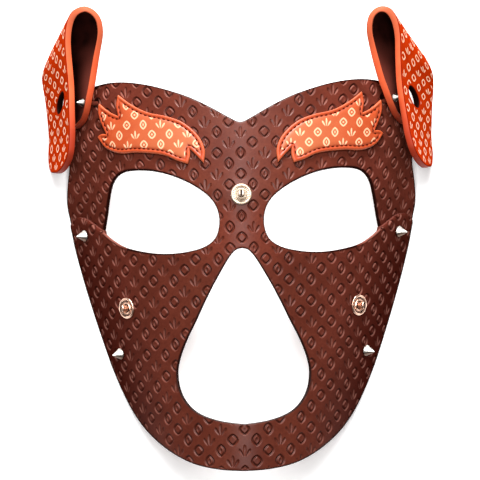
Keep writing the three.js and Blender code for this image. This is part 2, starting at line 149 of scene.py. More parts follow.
# %% The socket class
class Link:
    def __init__(self, tree, socket=None):
        self.tree = tree
        self.socket = socket

    def node(self, kind, settings, inputs, output=0):
        made = self.tree.nodes.new(kind)
        for name, value in settings.items():
            setattr(made, name, value)
        for name, value in inputs.items():
            if isinstance(value, Link):
                self.tree.links.new(value.socket, made.inputs[name])
            else:
                made.inputs[name].default_value = value
        return Link(self.tree, made.outputs[output])

    def math(self, operation, first, second=0.0):
        return self.node("ShaderNodeMath", {"operation": operation}, {0: first, 1: second})

    def __add__(self, other):
        return self.math("ADD", self, other)

    def __sub__(self, other):
        return self.math("SUBTRACT", self, other)

    def __rsub__(self, other):
        return self.math("SUBTRACT", other, self)

    def __mul__(self, other):
        return self.math("MULTIPLY", self, other)

    __radd__ = __add__
    __rmul__ = __mul__

    def step(self, low, high):
        """0 below low, 1 above high and a smooth rise between them"""
        return self.node("ShaderNodeMapRange", {"interpolation_type": "SMOOTHSTEP"},
                         {"Value": self, "From Min": low, "From Max": high})

    def blend(self, color, other):
        """color where this value is 0, other where it is 1"""
        return self.node("ShaderNodeMix", {"data_type": "RGBA"}, {0: self, 6: color, 7: other}, 2)


def abilities(kind):
    """The names of what a class can do"""
    return sorted(name.strip("_") for name, work in vars(kind).items() if callable(work))


print("a link can", abilities(Link))

# %% [markdown]
# ## Starting a material
# Every finish here starts in the same way: a Principled shader, the place of the point on the
# object in metres, and noises of a chosen size in millimetres. The constants go straight on to the
# shader's own sockets. Two more methods say how high up the face a point is and how far to the side,
# for the slow changes of tone over the mask.


# %% Material starter
class Finish:
    def __init__(self, name, **constants):
        self.material = bpy.data.materials.new(name)
        self.material.use_nodes = True
        tree = self.material.node_tree
        self.shader = tree.nodes["Principled BSDF"]
        self.link = Link(tree)
        self.place = self.link.node("ShaderNodeTexCoord", {}, {}, "Object")
        for socket, value in constants.items():
            self.shader.inputs[socket.replace("_", " ")].default_value = value

    def noise(self, size_mm, detail=3.0, roughness=0.5):
        return self.link.node("ShaderNodeTexNoise", {}, {
            "Vector": self.place, "Scale": 1000 / size_mm, "Detail": detail, "Roughness": roughness})

    def cells(self, size_mm):
        return self.link.node("ShaderNodeTexVoronoi", {}, {
            "Vector": self.place, "Scale": 1000 / size_mm})

    def up(self):
        """How far up the face a point is, in metres"""
        return self.link.node("ShaderNodeSeparateXYZ", {}, {"Vector": self.place}, "Y")

    def from_middle(self):
        """How far to either side of the middle a point is, in metres"""
        across = self.link.node("ShaderNodeSeparateXYZ", {}, {"Vector": self.place}, "X")
        return across.math("ABSOLUTE", across)

    def mark(self, name):
        """A value stored on the points of the mesh"""
        return self.link.node("ShaderNodeAttribute", {"attribute_name": name}, {}, "Fac")

    def set(self, socket, value):
        self.link.tree.links.new(value.socket, self.shader.inputs[socket])

    def bump(self, height, depth_mm, strength):
        self.set("Normal", self.link.node("ShaderNodeBump", {}, {
            "Height": height, "Distance": depth_mm * 0.001, "Strength": strength}))


def tone(red, green, blue):
    """A colour given as seen on a screen, 0 to 255, turned into the shader's linear numbers"""
    linear = [((value / 255 + 0.055) / 1.055) ** 2.4 for value in (red, green, blue)]
    return (*linear, 1.0)


print("a finish can", abilities(Finish))

# %% [markdown]
# ## Brown mask leather
# The real leather is a satin, red-brown hide with a very fine pebble grain, a little uneven in
# tone. It is painted darker out at the cheeks, as shade, and paler on the bridge between the eyes,
# as painted light. Four marks stored on the mesh let the colour follow the shape: how deep a groove
# is pressed, and its bottom is painted darker as shade; its wall on the side of the light, which
# faces away from it and is painted darker as shade; the wall that faces the light, painted paler
# as a highlight; and a darker band along the rim. A clear coat gives the middle its sheen, and the
# matt sides go without.

# %% Mask leather
mask_leather = Finish("mask_leather", Specular_IOR_Level=0.0, Coat_Roughness=0.34)
grain = mask_leather.cells(0.9)
mottle = mask_leather.noise(16, 4, 0.6)
fine = mask_leather.noise(1.6, 2)
up = mask_leather.up()
from_middle = mask_leather.from_middle()
to_side = from_middle.step(0.012, 0.075)
below_nose = up.math("MINIMUM", up, 0.0) * -1
# painted shade for the outer cheeks, which turn away from the light
outer_shade = (from_middle + below_nose * 0.3).step(0.068, 0.104) * up.step(0.04, -0.01)
between_eyes = up.step(-0.035, -0.010) * (1 - up.step(0.004, 0.018))
# painted light: the nose bridge between the eyes is made paler
bridge_light = (1 - from_middle.step(0.012, 0.034)) * between_eyes
hide = mottle.step(0.3, 0.72).blend(tone(82, 35, 24), tone(93, 43, 30))
side = mottle.step(0.3, 0.72).blend(tone(80, 35, 25), tone(92, 41, 31))
# painted shade: the outer cheeks are darkened
side = (outer_shade * 0.9).blend(side, tone(48, 11, 6))
hide = to_side.blend(hide, side)
hide = bridge_light.blend(hide, tone(105, 47, 33))
hide = (fine.step(0.35, 0.75) * 0.3).blend(hide, tone(66, 25, 18))
# painted shade at the bottom of the pressed grooves
hide = (mask_leather.mark("pressed") * 0.4).blend(hide, tone(46, 15, 10))
hide = mask_leather.mark("edge").step(0.2, 0.85).blend(hide, tone(30, 9, 6))
# painted shade on the groove walls that face away from the light
hide = (mask_leather.mark("shaded") * 0.55).blend(hide, tone(38, 11, 7))
# painted highlight on groove walls that face the light, stronger on the cheeks, and at each eye's corner
hide = (mask_leather.mark("worn") * (to_side * 0.32 + 0.12)).blend(hide, tone(182, 122, 108))
mask_leather.set("Base Color", hide)
mask_leather.set("Coat Weight", (1 - to_side) * 0.3)
mask_leather.set("Roughness", mottle * 0.1 + fine * 0.08 + to_side * 0.2 + 0.30)
mask_leather.bump(grain * 0.6 + fine * 0.6 + mask_leather.mark("pressed") * -6, 0.09, 0.6)
print("face of the mask:", len(mask_leather.link.tree.nodes), "nodes")

# %% [markdown]
# ### Where the leather is cut
# The rim is rubbed with dark wax until its fibres lie down. The dart's edge is left as it was cut, so
# it shows the paler raw fibres. The back of the mask is the flesh side of the hide, a dull suede.


# %% Cut edges and flesh side
def cut_edge(name, gloss, fibre_size, dark, light, rough, depth, strength):
    finish = Finish(name, Specular_IOR_Level=gloss)
    fibre = finish.noise(fibre_size, 3)
    finish.set("Base Color", fibre.step(0.3, 0.7).blend(dark, light))
    finish.set("Roughness", fibre * 0.2 + rough)
    finish.bump(fibre, depth, strength)
    return finish


burnished_edge = cut_edge("burnished_edge", 0.02, 0.5, tone(18, 6, 4), tone(28, 10, 7), 0.3, 0.08, 0.5)
raw_edge = cut_edge("raw_edge", 0.05, 0.4, tone(92, 47, 39), tone(116, 62, 52), 0.5, 0.1, 0.6)

flesh_side = Finish("flesh_side", Specular_IOR_Level=0.25)
nap = flesh_side.noise(0.7, 5, 0.7)
wear = flesh_side.noise(22, 3)
suede = nap.step(0.3, 0.7).blend(tone(88, 48, 36), tone(120, 72, 56))
flesh_side.set("Base Color", (wear.step(0.35, 0.7) * 0.4).blend(suede, tone(74, 38, 28)))
flesh_side.set("Roughness", nap * 0.15 + 0.75)
flesh_side.bump(nap, 0.2, 0.7)
print("leathers:", [material.name for material in bpy.data.materials])

# %% [markdown]
# ## Orange leather, print, lining and thread
# The brows and ears are a bright orange leather with a pale print, which sits on the grain and is
# worn thin in places. Inside its stitches each brow is painted a little paler towards the nose, as a
# sheen; its rounded rim is painted paler as a highlight and its stitch channel darker as shade. One
# function makes both hides, because they differ only in tone and gloss.


# %% Orange leather
def orange_finish(name, low, high, inner, rim, shade, rough, gloss):
    """low and high are the tones of the hide, inner the one painted on towards the nose as a sheen"""
    finish = Finish(name, Specular_IOR_Level=gloss)
    mottle = finish.noise(9, 4, 0.6)
    pores = finish.cells(0.8)
    color = mottle.step(0.3, 0.7).blend(low, high)
    # painted sheen: inside the stitches the brow goes paler towards the nose
    color = (finish.mark("worn") * finish.from_middle().step(0.085, 0.03)).blend(color, inner)
    # the band along the rim: a painted highlight on the brows, a darker line on the ears
    color = finish.mark("edge").step(0.3, 1.0).blend(color, rim)
    # painted shade in the stitch channel
    finish.set("Base Color", (finish.mark("pressed") * 0.8).blend(color, shade))
    finish.set("Roughness", mottle * 0.15 + rough)
    finish.bump(pores * 0.5 + finish.noise(1.3) * 0.5, 0.08, 0.4)
    return finish


# inner is a painted sheen towards the nose, rim a painted highlight on the rounded edge
brow_leather = orange_finish(
    "brow_leather", low=tone(162, 60, 27), high=tone(172, 72, 36), inner=tone(164, 88, 54),
    rim=tone(200, 98, 60), shade=tone(128, 32, 15), rough=0.34, gloss=0.3)
ear_leather = orange_finish(
    "ear_leather", low=tone(158, 37, 4), high=tone(172, 46, 8), inner=tone(172, 46, 8),
    rim=tone(92, 14, 4), shade=tone(120, 22, 10), rough=0.6, gloss=0.0)

cream_print = Finish("cream_print", Specular_IOR_Level=0.2)
thin = cream_print.noise(1.1, 4, 0.7)
cream_print.set("Base Color", thin.step(0.55, 0.75).blend(tone(216, 166, 131), tone(206, 118, 78)))
cream_print.set("Roughness", thin * 0.2 + 0.42)
cream_print.bump(cream_print.cells(0.8), 0.05, 0.3)
print("orange leathers and print made")

# %% [markdown]
# ### Ear edges, lining and thread
# The cut edge of an ear is painted orange, bright along the flap. Low down, where it turns from the
# light, and at the pinned end it is painted deeper, as shade, and at the top it is toned down a
# little, also as painted shade. The dark brown lining is painted darker still inside the loop, as
# shade, and paler on the lower inner leg, as painted light. The brows are sewn with a dark waxed
# thread: a diagonal wave gives its twist.

# %% Painted edge, lining and thread
painted_edge = Finish("painted_edge", Specular_IOR_Level=0.06)
mottle = painted_edge.noise(9, 4, 0.6)
up = painted_edge.up()
paint = mottle.step(0.3, 0.7).blend(tone(206, 84, 49), tone(214, 94, 57))
# painted shade low down, where the edge turns from the light, and a little at the top
paint = up.step(0.095, 0.055).blend(paint, tone(148, 48, 28))
paint = up.step(0.105, 0.130).blend(paint, tone(178, 84, 54))
# painted shade on the pinned end of the inner leg
pinned_end_shade = up.step(0.090, 0.067) * painted_edge.from_middle().step(0.100, 0.095)
painted_edge.set("Base Color", pinned_end_shade.blend(paint, tone(112, 28, 16)))
painted_edge.set("Roughness", mottle * 0.15 + 0.4)
painted_edge.bump(painted_edge.noise(1.3), 0.08, 0.3)

lining = Finish("lining", Specular_IOR_Level=0.0)
mottle = lining.noise(8, 4)
# the dark brown lining, painted darker still as the shade inside the loop
lining_and_shade = mottle.step(0.3, 0.7).blend(tone(20, 6, 4), tone(34, 11, 8))
# painted light on the lower inner leg
leg_light = lining.from_middle().step(0.099, 0.090) * lining.up().step(0.124, 0.098)
lining.set("Base Color", leg_light.blend(lining_and_shade, tone(108, 51, 42)))
lining.set("Roughness", mottle * 0.2 + 0.55)
lining.bump(lining.cells(1.0), 0.1, 0.5)

thread = Finish("thread", Specular_IOR_Level=0.0)
strand = thread.link.node("ShaderNodeTexWave", {"bands_direction": "DIAGONAL"}, {
    "Vector": thread.place, "Scale": 900.0, "Distortion": 0.6})
thread.set("Base Color", strand.blend(tone(50, 11, 7), tone(84, 24, 14)))
thread.set("Roughness", strand * 0.15 + 0.45)
thread.bump(strand, 0.08, 0.7)
print("materials so far:", [material.name for material in bpy.data.materials])

# %% [markdown]
# ## Metals
# The studs are a bright silvery metal, the press stud on the bridge a pale gold and the two on the
# cheeks a rose gold. Plated metal is smooth but never perfect: a faint orange-peel and hair-fine
# scratches break up the reflections, and the plating is duller where it has been handled. The silver
# is painted darker on the sides that face down the mask, as a dark reflection, and the slots and
# recesses are painted dark as shade, so they read as dark lines at this size.


# %% Plated metals
def plated(name, color, worn, rough, under=None):
    """under is the tone of the sides that face down the mask, painted on as a dark reflection"""
    finish = Finish(name, Metallic=1.0)
    haze = finish.noise(2.2, 4, 0.6)
    hairs = finish.link.node("ShaderNodeTexNoise", {}, {
        "Vector": finish.link.node("ShaderNodeMapping", {}, {
            "Vector": finish.place, "Scale": (1, 14, 1)}), "Scale": 260.0, "Detail": 4.0})
    plating = haze.step(0.4, 0.75).blend(color, worn)
    # painted dark reflection on the sides that face down the mask
    if under:
        facing = finish.link.node("ShaderNodeNewGeometry", {}, {}, "Normal")
        down = finish.link.node("ShaderNodeSeparateXYZ", {}, {"Vector": facing}, "Y")
        plating = down.step(-0.35, -0.75).blend(plating, under)
    finish.set("Base Color", plating)
    finish.set("Roughness", haze * 0.12 + hairs * 0.1 + rough)
    finish.bump(haze * 0.6 + hairs * 0.4, 0.02, 0.3)
    return finish


silver = plated("silver", tone(246, 241, 232), tone(226, 217, 206), 0.26, tone(112, 92, 80))
pale_gold = plated("pale_gold", tone(214, 198, 178), tone(186, 158, 132), 0.38)
rose_gold = plated("rose_gold", tone(230, 192, 170), tone(204, 158, 134), 0.2)
print("metals:", [metal.material.name for metal in (silver, pale_gold, rose_gold)])

# %% Recess shade and floor paper
# painted shade for the slots and recesses of the metal fittings
recess_shade = Finish("recess_shade", Specular_IOR_Level=0.15)
haze = recess_shade.noise(1.0, 4)
recess_shade.set("Base Color", haze.blend(tone(30, 15, 10), tone(58, 32, 24)))
recess_shade.set("Roughness", haze * 0.2 + 0.5)
recess_shade.bump(haze, 0.05, 0.3)

floor_paper = Finish("floor_paper", Specular_IOR_Level=0.1, Emission_Color=(1, 1, 1, 1),
                     Emission_Strength=0.3)
speck = floor_paper.noise(300, 2)
floor_paper.set("Base Color", speck.blend(tone(240, 240, 240), tone(244, 244, 244)))
floor_paper.set("Roughness", speck * 0.05 + 0.9)
floor.data.materials.append(floor_paper.material)
print("materials:", len(bpy.data.materials))

# %% [markdown]
# ## The curved sheet
# One surface carries the whole mask. Its ridge line leans back at the forehead, and each cross
# section is three arcs and then a straight piece, so a point on it is named by how far it is from
# the ridge along the leather, how high it is, and how far it stands off the surface. That is how a
# flat pattern wraps on to a face without stretching.

# %% Ridge and cross section
ridge_top, lean_from, lean_back, lean_softness = 0.78, 17.5, 0.245, 11
widest, wider_above, chin_taper, chin_height, taper_power = 106.5, 1.5, 54, 150, 1.35
nose_radius, nose_reach, cheek_sine = 45, 10.9, 0.668
forehead_radius, cheek_rim_radius, forehead_rim_radius = 150, 60, 20
cheek_turns, forehead_turns = (14, 62, 70), (2, 31, 71)    # degrees turned at the end of each arc


def smooth(low, high, value):
    """0 below low, 1 above high and a smooth rise between them"""
    share = np.clip((value - low) / (high - low), 0, 1)
    return share * share * (3 - 2 * share)


def mix(first, second, share):
    return first + (second - first) * share


def crown(y):
    """Height of the ridge line, which leans back over the forehead"""
    above = y - lean_from
    return ridge_top - lean_back * (above + np.hypot(above, lean_softness))


def section_arcs(y):
    """Radius and end angle of each arc of the cross section at y, from the ridge outwards"""
    up = smooth(-8, 96, y)    # 0 at the cheeks, 1 at the forehead
    taper = chin_taper * (np.maximum(0, -y) / chin_height) ** taper_power
    half = widest + wider_above * smooth(0, 15, y) - taper
    cheek_radius = (half - nose_reach) / cheek_sine
    radii = (nose_radius + 0 * y, mix(cheek_radius, forehead_radius, up),
             mix(cheek_rim_radius, forehead_rim_radius, up))
    return [(radius, np.radians(mix(cheek, forehead, up)))
            for radius, cheek, forehead in zip(radii, cheek_turns, forehead_turns)]


print("height of the ridge at chin, nose and forehead:", crown(np.array([-140, 0, 60])).round(1))


# %% Along one section
def section_at(length, y):
    """Distance to the side, height over the ridge line and slope, at an arc length from the ridge"""
    x, z, angle, left = (0 * length for _ in range(4))
    left = left + length
    for radius, until in section_arcs(y):
        end = angle + np.clip(left / radius, 0, until - angle)
        x = x + radius * (np.sin(end) - np.sin(angle))
        z = z - radius * (np.cos(angle) - np.cos(end))
        left = left - radius * (end - angle)
        angle = end
    return x + left * np.cos(angle), z - left * np.sin(angle), angle


def length_at(x, y):
    """Arc length at which the section passes x"""
    sofar, angle, length = 0 * x, 0 * x, 0 * x
    for radius, until in section_arcs(y):
        sine = (x - sofar) / radius + np.sin(angle)
        turn = np.where(sine >= 1, math.pi, np.arcsin(np.minimum(sine, 1)) - angle)
        end = angle + np.clip(turn, 0, until - angle)
        sofar = sofar + radius * (np.sin(end) - np.sin(angle))
        length = length + radius * (end - angle)
        angle = end
    return length + (x - sofar) / np.cos(angle)


nose_level = np.zeros(1)
print("the section across the nose is 80 mm out at an arc length of",
      length_at(nose_level + 80, nose_level).round(1))


# %% Points on the sheet
def sheet_point(s, y, w):
    """Points and normals at arc length s, height y and height w off the sheet"""
    s, y = np.asarray(s, float), np.asarray(y, float)
    side = np.where(s < 0, -1.0, 1.0)
    reach = np.abs(s)
    x, z, angle = section_at(reach, y)
    x_up, z_up, _ = section_at(reach, y + 0.5)
    x_down, z_down, _ = section_at(reach, y - 0.5)
    dx = x_up - x_down
    dz = z_up + crown(y + 0.5) - z_down - crown(y - 0.5)
    normal = np.stack([np.sin(angle), -np.sin(angle) * dx - np.cos(angle) * dz, np.cos(angle)], -1)
    normal = normal / np.linalg.norm(normal, axis=-1, keepdims=True)
    point = np.stack([x, y, crown(y) + z], -1) + normal * np.asarray(w)[..., None]
    flip = np.stack([side, np.ones_like(side), np.ones_like(side)], -1)
    return point * flip, normal * flip


def sheet_under(x, y, w):
    """Where on the sheet a point lies that is seen at x, y from the front, w off the surface"""
    x, y = np.asarray(x, float), np.asarray(y, float)
    seen, high = np.abs(x), y.copy()
    for _ in range(6):
        point, _ = sheet_point(length_at(seen, high), high, w)
        seen = np.maximum(0, seen + np.abs(x) - point[..., 0])
        high = high + y - point[..., 1]
    return np.sign(x) * length_at(seen, high), high


nose, _ = sheet_point(0.0, 0.0, 0.0)
cheek, _ = sheet_point(130.0, -20.0, 0.0)
print("ridge at the nose", nose.round(2), "and out on the cheek", cheek.round(2))

# %% [markdown]
# ## The side dart
# At each temple the leather is cut and the cheek panel laps over the temple strip, which is what
# pulls the flat hide into a face. The strip dips by almost one thickness before it goes under.


# %% Smooth lines
def along_line(line):
    """Distance along a line from its start to each of its points"""
    return np.concatenate([[0], np.cumsum(np.linalg.norm(np.diff(line, axis=0), axis=1))])


def read_off(places, table_places, table):
    """The columns of a table, read off between its rows at the given places"""
    return np.stack([np.interp(places, table_places, column) for column in table.T], 1)


def spline(knots, count):
    """Evenly spaced points on a smooth curve through the knots, and the curve's length"""
    knots = np.array(knots, float)
    padded = np.vstack([knots[:1], knots, knots[-1:]])
    t = np.linspace(0, 1, 40, endpoint=False)[:, None]
    fine = []
    for p0, p1, p2, p3 in zip(padded, padded[1:], padded[2:], padded[3:]):
        v0, v1 = (p2 - p0) / 2, (p3 - p1) / 2
        cubic = 2 * p1 - 2 * p2 + v0 + v1
        square = 3 * p2 - 3 * p1 - 2 * v0 - v1
        fine.append(cubic * t ** 3 + square * t ** 2 + v0 * t + p1)
    fine = np.vstack(fine + [knots[-1:]])
    along = along_line(fine)
    return read_off(np.linspace(0, along[-1], count), along, fine), along[-1]


print("a smooth line through (0, 0), (5, 0) and (10, 5) is",
      round(spline([(0, 0), (5, 0), (10, 5)], 3)[1], 2), "long")

# %% Dart line and the dip of the strip
leather = 2.8
lap_depth = 0.9 * leather
dart_tuck = 12.0    # how far the strip runs on under the cheek panel
dart_line, _ = spline([(80, -7.5), (83, -6.6), (87, -3.9), (90.5, -1.4), (93.5, 1), (97, 2.5),
                       (100.5, 2.6), (103.3, 0), (106, -5)], 61)
dips_out_to = (35, 75)    # the strip sinks between these distances from the middle
comes_up = (8, 55)    # and is level again between these heights over the dart
at_rim, rim_relief = (119, 131), 0.7    # it sinks less at the rim, where the panels meet


def dart_at(s):
    return np.interp(section_at(np.abs(s), 0 * s)[0], dart_line[:, 0], dart_line[:, 1])


def lap_at(s, v):
    """How deep the temple strip lies under the sheet, at height v over the dart"""
    x = section_at(np.abs(s), 0 * s)[0]
    dip = smooth(*dips_out_to, x) * (1 - smooth(*comes_up, v))
    return lap_depth * dip * (1 - rim_relief * smooth(*at_rim, np.abs(s)))


print("dart rises by", round(float(np.ptp(dart_line[:, 1])), 1), "mm, lap", round(lap_depth, 2), "mm")

# %% [markdown]
# ## Outlines
# The outlines were read off the photograph as seen from the front: smooth runs with sharp corners
# between them. Half of each is given and the rest is its mirror image. Each outline is then laid on
# the sheet, which turns it into a flat cutting pattern.

# %% Outlines as seen from the front
forehead_run = [(0, 58.8), (2.2, 59.3), (7, 61.8), (18, 68.1), (30, 74), (42, 78.3), (54, 81.7),
                (66, 83.8), (76, 84.2), (85, 83.1), (92, 81.3), (98.5, 76.5), (103, 68), (106, 58),
                (106.2, 46), (104.2, 35), (105.2, 24), (105.9, 14), (105.2, 5), (104, -1.5)]
cheek_run = [(104, -1.5), (103.9, -8), (101.4, -18), (97.9, -30), (94.4, -42), (90.9, -54.5),
             (87.5, -66), (83.4, -78), (78.7, -89.5), (73.4, -102), (67, -114.5), (59.5, -125),
             (50.5, -133.5), (40, -140.5), (28.5, -145.3), (14, -148), (0, -148.8)]
eye_run = [(83, -6.8), (81.2, 3), (79.6, 13), (77.4, 22.5), (73, 28.3), (66, 30.4), (54, 30.1),
           (42, 27.2), (30, 21.8), (20, 14.6), (14.8, 7), (13.5, -2), (16, -10.6), (23, -15.9),
           (34, -18.7), (46, -19.6), (58, -18.5), (70, -15.6), (78, -11), (83, -6.8)]
muzzle_run = [(0, -16.8), (4, -18), (8.5, -23.2), (16, -35.7), (22.3, -47.6), (28, -59.4), (34, -71.4),
              (38, -82), (39.5, -91), (38, -100.8), (33.5, -109), (26, -115), (14, -119), (0, -120.9)]
brow_runs = [
    [(85.5, 71.6), (79.5, 66.5), (73.6, 63.5)], [(73.6, 63.5), (74.8, 70), (73.6, 76.5)],
    [(73.6, 76.5), (65.9, 70.6), (56, 65.5), (44, 62.7), (34.2, 58.7), (25.6, 51), (21.7, 42.5),
     (22.4, 34.3)],
    [(22.4, 34.3), (26.2, 38.6), (30.6, 43.1)], [(30.6, 43.1), (30.6, 38.4), (32, 34.1)],
    [(32, 34.1), (38, 36), (47.2, 39.8), (61.9, 41.4), (73, 41.2), (81.3, 44.4), (86.5, 51.2)],
    [(86.5, 51.2), (84, 52.9), (81, 52.8)], [(81, 52.8), (84.3, 60), (85.8, 66), (85.5, 71.6)]]
print("knots on the outlines:", sum(map(len, [forehead_run, cheek_run, eye_run, muzzle_run, *brow_runs])))


# %% Closed outlines from the runs
def counter_clockwise(loop):
    x, y = loop.T
    return loop if np.sum(x * np.roll(y, -1) - np.roll(x, -1) * y) > 0 else loop[::-1]


def mirrored(loop):
    """The same loop on the other side of the middle, still counter-clockwise"""
    return (loop * [-1, 1])[::-1]


def mirror_run(run):
    return [(-x, y) for x, y in run][::-1]


def outline(runs, spacing):
    """Closed outline with a corner wherever two runs meet"""
    points = []
    for run in runs:
        _, length = spline(run, 2)
        points.append(spline(run, max(2, round(length / spacing) + 1))[0][:-1])
    return counter_clockwise(np.vstack(points))


mask_front = outline([forehead_run, cheek_run, mirror_run(cheek_run), mirror_run(forehead_run)], 1.8)
eye_front = outline([eye_run], 1.8)
muzzle_front = outline([muzzle_run, mirror_run(muzzle_run)], 1.8)
brow_front = outline(brow_runs, 1.2)
print("points round the mask, an eye, the muzzle, a brow:",
      [len(loop) for loop in (mask_front, eye_front, muzzle_front, brow_front)])

# %% [markdown]
# ## Measuring on a flat pattern
# Two small tools do the work on flat patterns: how far a point is from a set of lines, and whether
# it lies inside some closed loops. Both handle thousands of points at once with numpy.


# %% Distance and inside tests
def edges_of(loops):
    """The start and the end of every side of the loops"""
    return (np.vstack(loops), np.vstack([np.roll(loop, -1, axis=0) for loop in loops]))


def in_batches(test, points, size=4000):
    """A test of many points, a few thousand at a time, to save memory"""
    return np.concatenate([test(points[k:k + size]) for k in range(0, max(1, len(points)), size)])


def distance_to(points, loops):
    """Distance from each point to the nearest side of any loop"""
    start, end = edges_of(loops)
    run = end - start
    square = (run ** 2).sum(1)

    def nearest(batch):
        away = batch[:, None] - start
        share = np.clip((away * run).sum(2) / square, 0, 1)
        return np.sqrt(((away - share[..., None] * run) ** 2).sum(2).min(1))

    return in_batches(nearest, points)


def inside(points, loops, sides=None):
    """Whether each point is inside the closed loops, or inside loose sides that close up together"""
    start, end = sides or edges_of(loops)

    def crossed(batch):
        x, y = batch[:, :1], batch[:, 1:]
        spans = (start[:, 1] > y) != (end[:, 1] > y)
        rise = np.where(end[:, 1] == start[:, 1], 1.0, end[:, 1] - start[:, 1])
        at = start[:, 0] + (y - start[:, 1]) * (end[:, 0] - start[:, 0]) / rise
        return (spans & (x < at)).sum(1) % 2 == 1

    return in_batches(crossed, points)


bridge_middle = np.zeros((1, 2))
print("half of the nose bridge, mm:", distance_to(bridge_middle, [eye_front]).round(1))

# %% Moving an outline inwards
far_enough = 0.97    # a moved point is good if it keeps this share of its distance from every side


def inset(loop, depth):
    """The loop moved inwards, and which of its points are still far enough from every side"""
    before, after = np.roll(loop, 1, axis=0), np.roll(loop, -1, axis=0)
    along = after - before
    along = along / np.linalg.norm(along, axis=1, keepdims=True)
    moved = loop + depth * np.stack([-along[:, 1], along[:, 0]], 1)
    return moved, distance_to(moved, [loop]) > abs(depth) * far_enough - 0.001


print("points left of a brow moved in by 4 mm:", int(inset(brow_front, 4.0)[1].sum()))

# %% [markdown]
# ## Motifs
# The leather is pressed, and the orange leather printed, with small marks about six millimetres
# across. Here they are plain ones: a leaf with its rib, a lozenge with a dot, and a sprig of three
# drops, set in a half-drop layout. Each is a few closed loops; the pressing is deepest inside
# them and climbs out over a short wall.


# %% Motif loops
def turns(count):
    """Evenly spaced angles once round"""
    return np.arange(count) * 2 * math.pi / count


def circle(x, y, radius, count):
    angle = turns(count)
    return np.stack([x + radius * np.cos(angle), y + radius * np.sin(angle)], 1)


def almond(height, width, count):
    """Two arcs that meet in a point at the top and at the bottom"""
    share = np.linspace(0, 1, count // 2, endpoint=False)
    up = np.stack([width / 2 * np.sin(math.pi * share) ** 0.9, height * (share - 0.5)], 1)
    return np.vstack([up, -up])


def lozenge(half_width, half_height, count, power=1.35):
    """A power of 1 gives straight sides and 2 an ellipse"""
    angle = turns(count)
    pull = (np.abs(np.cos(angle)) ** power + np.abs(np.sin(angle)) ** power) ** (-1 / power)
    return np.stack([half_width * pull * np.cos(angle), half_height * pull * np.sin(angle)], 1)


def drop(x, y, lean, length, width, count):
    """A drop with its point at x, y, leaning by some degrees"""
    angle = turns(count)
    along = (1 - np.cos(angle)) / 2
    across = width * 0.62 * np.sin(angle) * np.sqrt(along)
    turn = math.radians(lean)
    return np.stack([x + along * length * math.sin(turn) + across * math.cos(turn),
                     y + along * length * math.cos(turn) - across * math.sin(turn)], 1)


def band(loop, width):
    """The two edges of a line drawn along the loop"""
    loop = counter_clockwise(loop)
    return [inset(loop, -width / 2)[0], inset(loop, width / 2)[0][::-1]]


def motif_set(size, stroke, marked=True):
    """The three motifs: a size of 1 is about six millimetres, and stroke is the width of a line"""
    leaf = band(almond(5.6 * size, 4.0 * size, 20), stroke)
    seed = band(lozenge(2.4 * size, 2.5 * size, 20), stroke)
    sprig = [counter_clockwise(drop(x * size, -2.8 * size, lean, length * size, stroke * 1.25, 12))
             for x, lean, length in ((0, 0, 5.6), (0.7, 33, 4.4), (-0.7, -33, 4.4))]
    if marked:
        leaf += [counter_clockwise(almond(2.4 * size, 1.0 * size, 10))]
        seed += [circle(0, 0, 0.7 * size, 10)]
    return [leaf, seed, sprig]


print("loops in each motif:", [len(motif) for motif in motif_set(1, 1)])

# %% Motif layout on a pattern
motif_reach = 4.8    # no motif is larger than this from its centre
motif_overhang = 3.8    # a motif whose centre is this near the pattern is partly on it


class Layout:
    """Motifs in columns, every second column dropped by half a step"""

    def __init__(self, motifs, across, up, shift):
        self.motifs = motifs
        self.across, self.up, self.shift = across, up, np.array(shift, float)

    def cell(self, points):
        """Kind and centre of the motif nearest to each point"""
        column = np.round((points[:, 0] - self.shift[0]) / self.across)
        start = self.shift[1] + self.up / 2 * (column % 2)
        row = np.round((points[:, 1] - start) / self.up)
        centre = np.stack([column * self.across + self.shift[0], row * self.up + start], 1)
        return ((column + 2 * row) % len(self.motifs)).astype(int), centre

    def signed(self, points):
        """Distance to the edge of the nearest motif, positive inside it"""
        kind, centre = self.cell(points)
        local = points - centre
        result = np.full(len(points), -2 * motif_reach)
        for k, motif in enumerate(self.motifs):
            mine = np.nonzero((kind == k) & (np.abs(local).max(1) < motif_reach))[0]
            if len(mine):
                within = np.where(inside(local[mine], motif), 1, -1)
                result[mine] = distance_to(local[mine], motif) * within
        return result

    def chains(self, loops, depths):
        """Loops of the motifs that touch a pattern, at the given distances inside their own edges"""
        low, high = np.vstack(loops).min(0), np.vstack(loops).max(0)
        steps = ((high - low) / [self.across, self.up] + 5).astype(int)
        first = np.floor((low - self.shift) / [self.across, self.up]) - 1
        grid = [(column * self.across, (row + column % 2 / 2) * self.up)
                for column in first[0] + np.arange(steps[0])
                for row in first[1] + np.arange(steps[1])]
        kinds, centres = self.cell(np.array(grid) + self.shift)
        near = inside(centres, loops) | (distance_to(centres, loops) < motif_overhang)
        shapes = []
        for motif in self.motifs:
            moved = [inset(loop, depth) for loop in motif for depth in depths]
            shapes.append([loop for loop, far in moved if far.mean() > 0.5])
        return [("motif", shape + centre, True)
                for kind, centre in zip(kinds[near], centres[near]) for shape in shapes[kind]]


dots = Layout([[circle(0, 0, 1.0, 24)]], 6.0, 12.0, (0, 0))
print("from the middle of a 1 mm dot to its edge:", dots.signed(np.zeros((1, 2))).round(2))

# %% [markdown]
# ## From a flat pattern to a piece of leather
# A pattern is cut into triangles whose sides follow its outline, its rings and its motifs, then
# both faces are lifted on to the curved sheet and a wall closes the cut edge between them. Where
# two panels lap, the points on that line are used twice, once for each panel, and the step between
# them becomes a cut edge of its own. This gives real thickness and real grooves with no overlap.


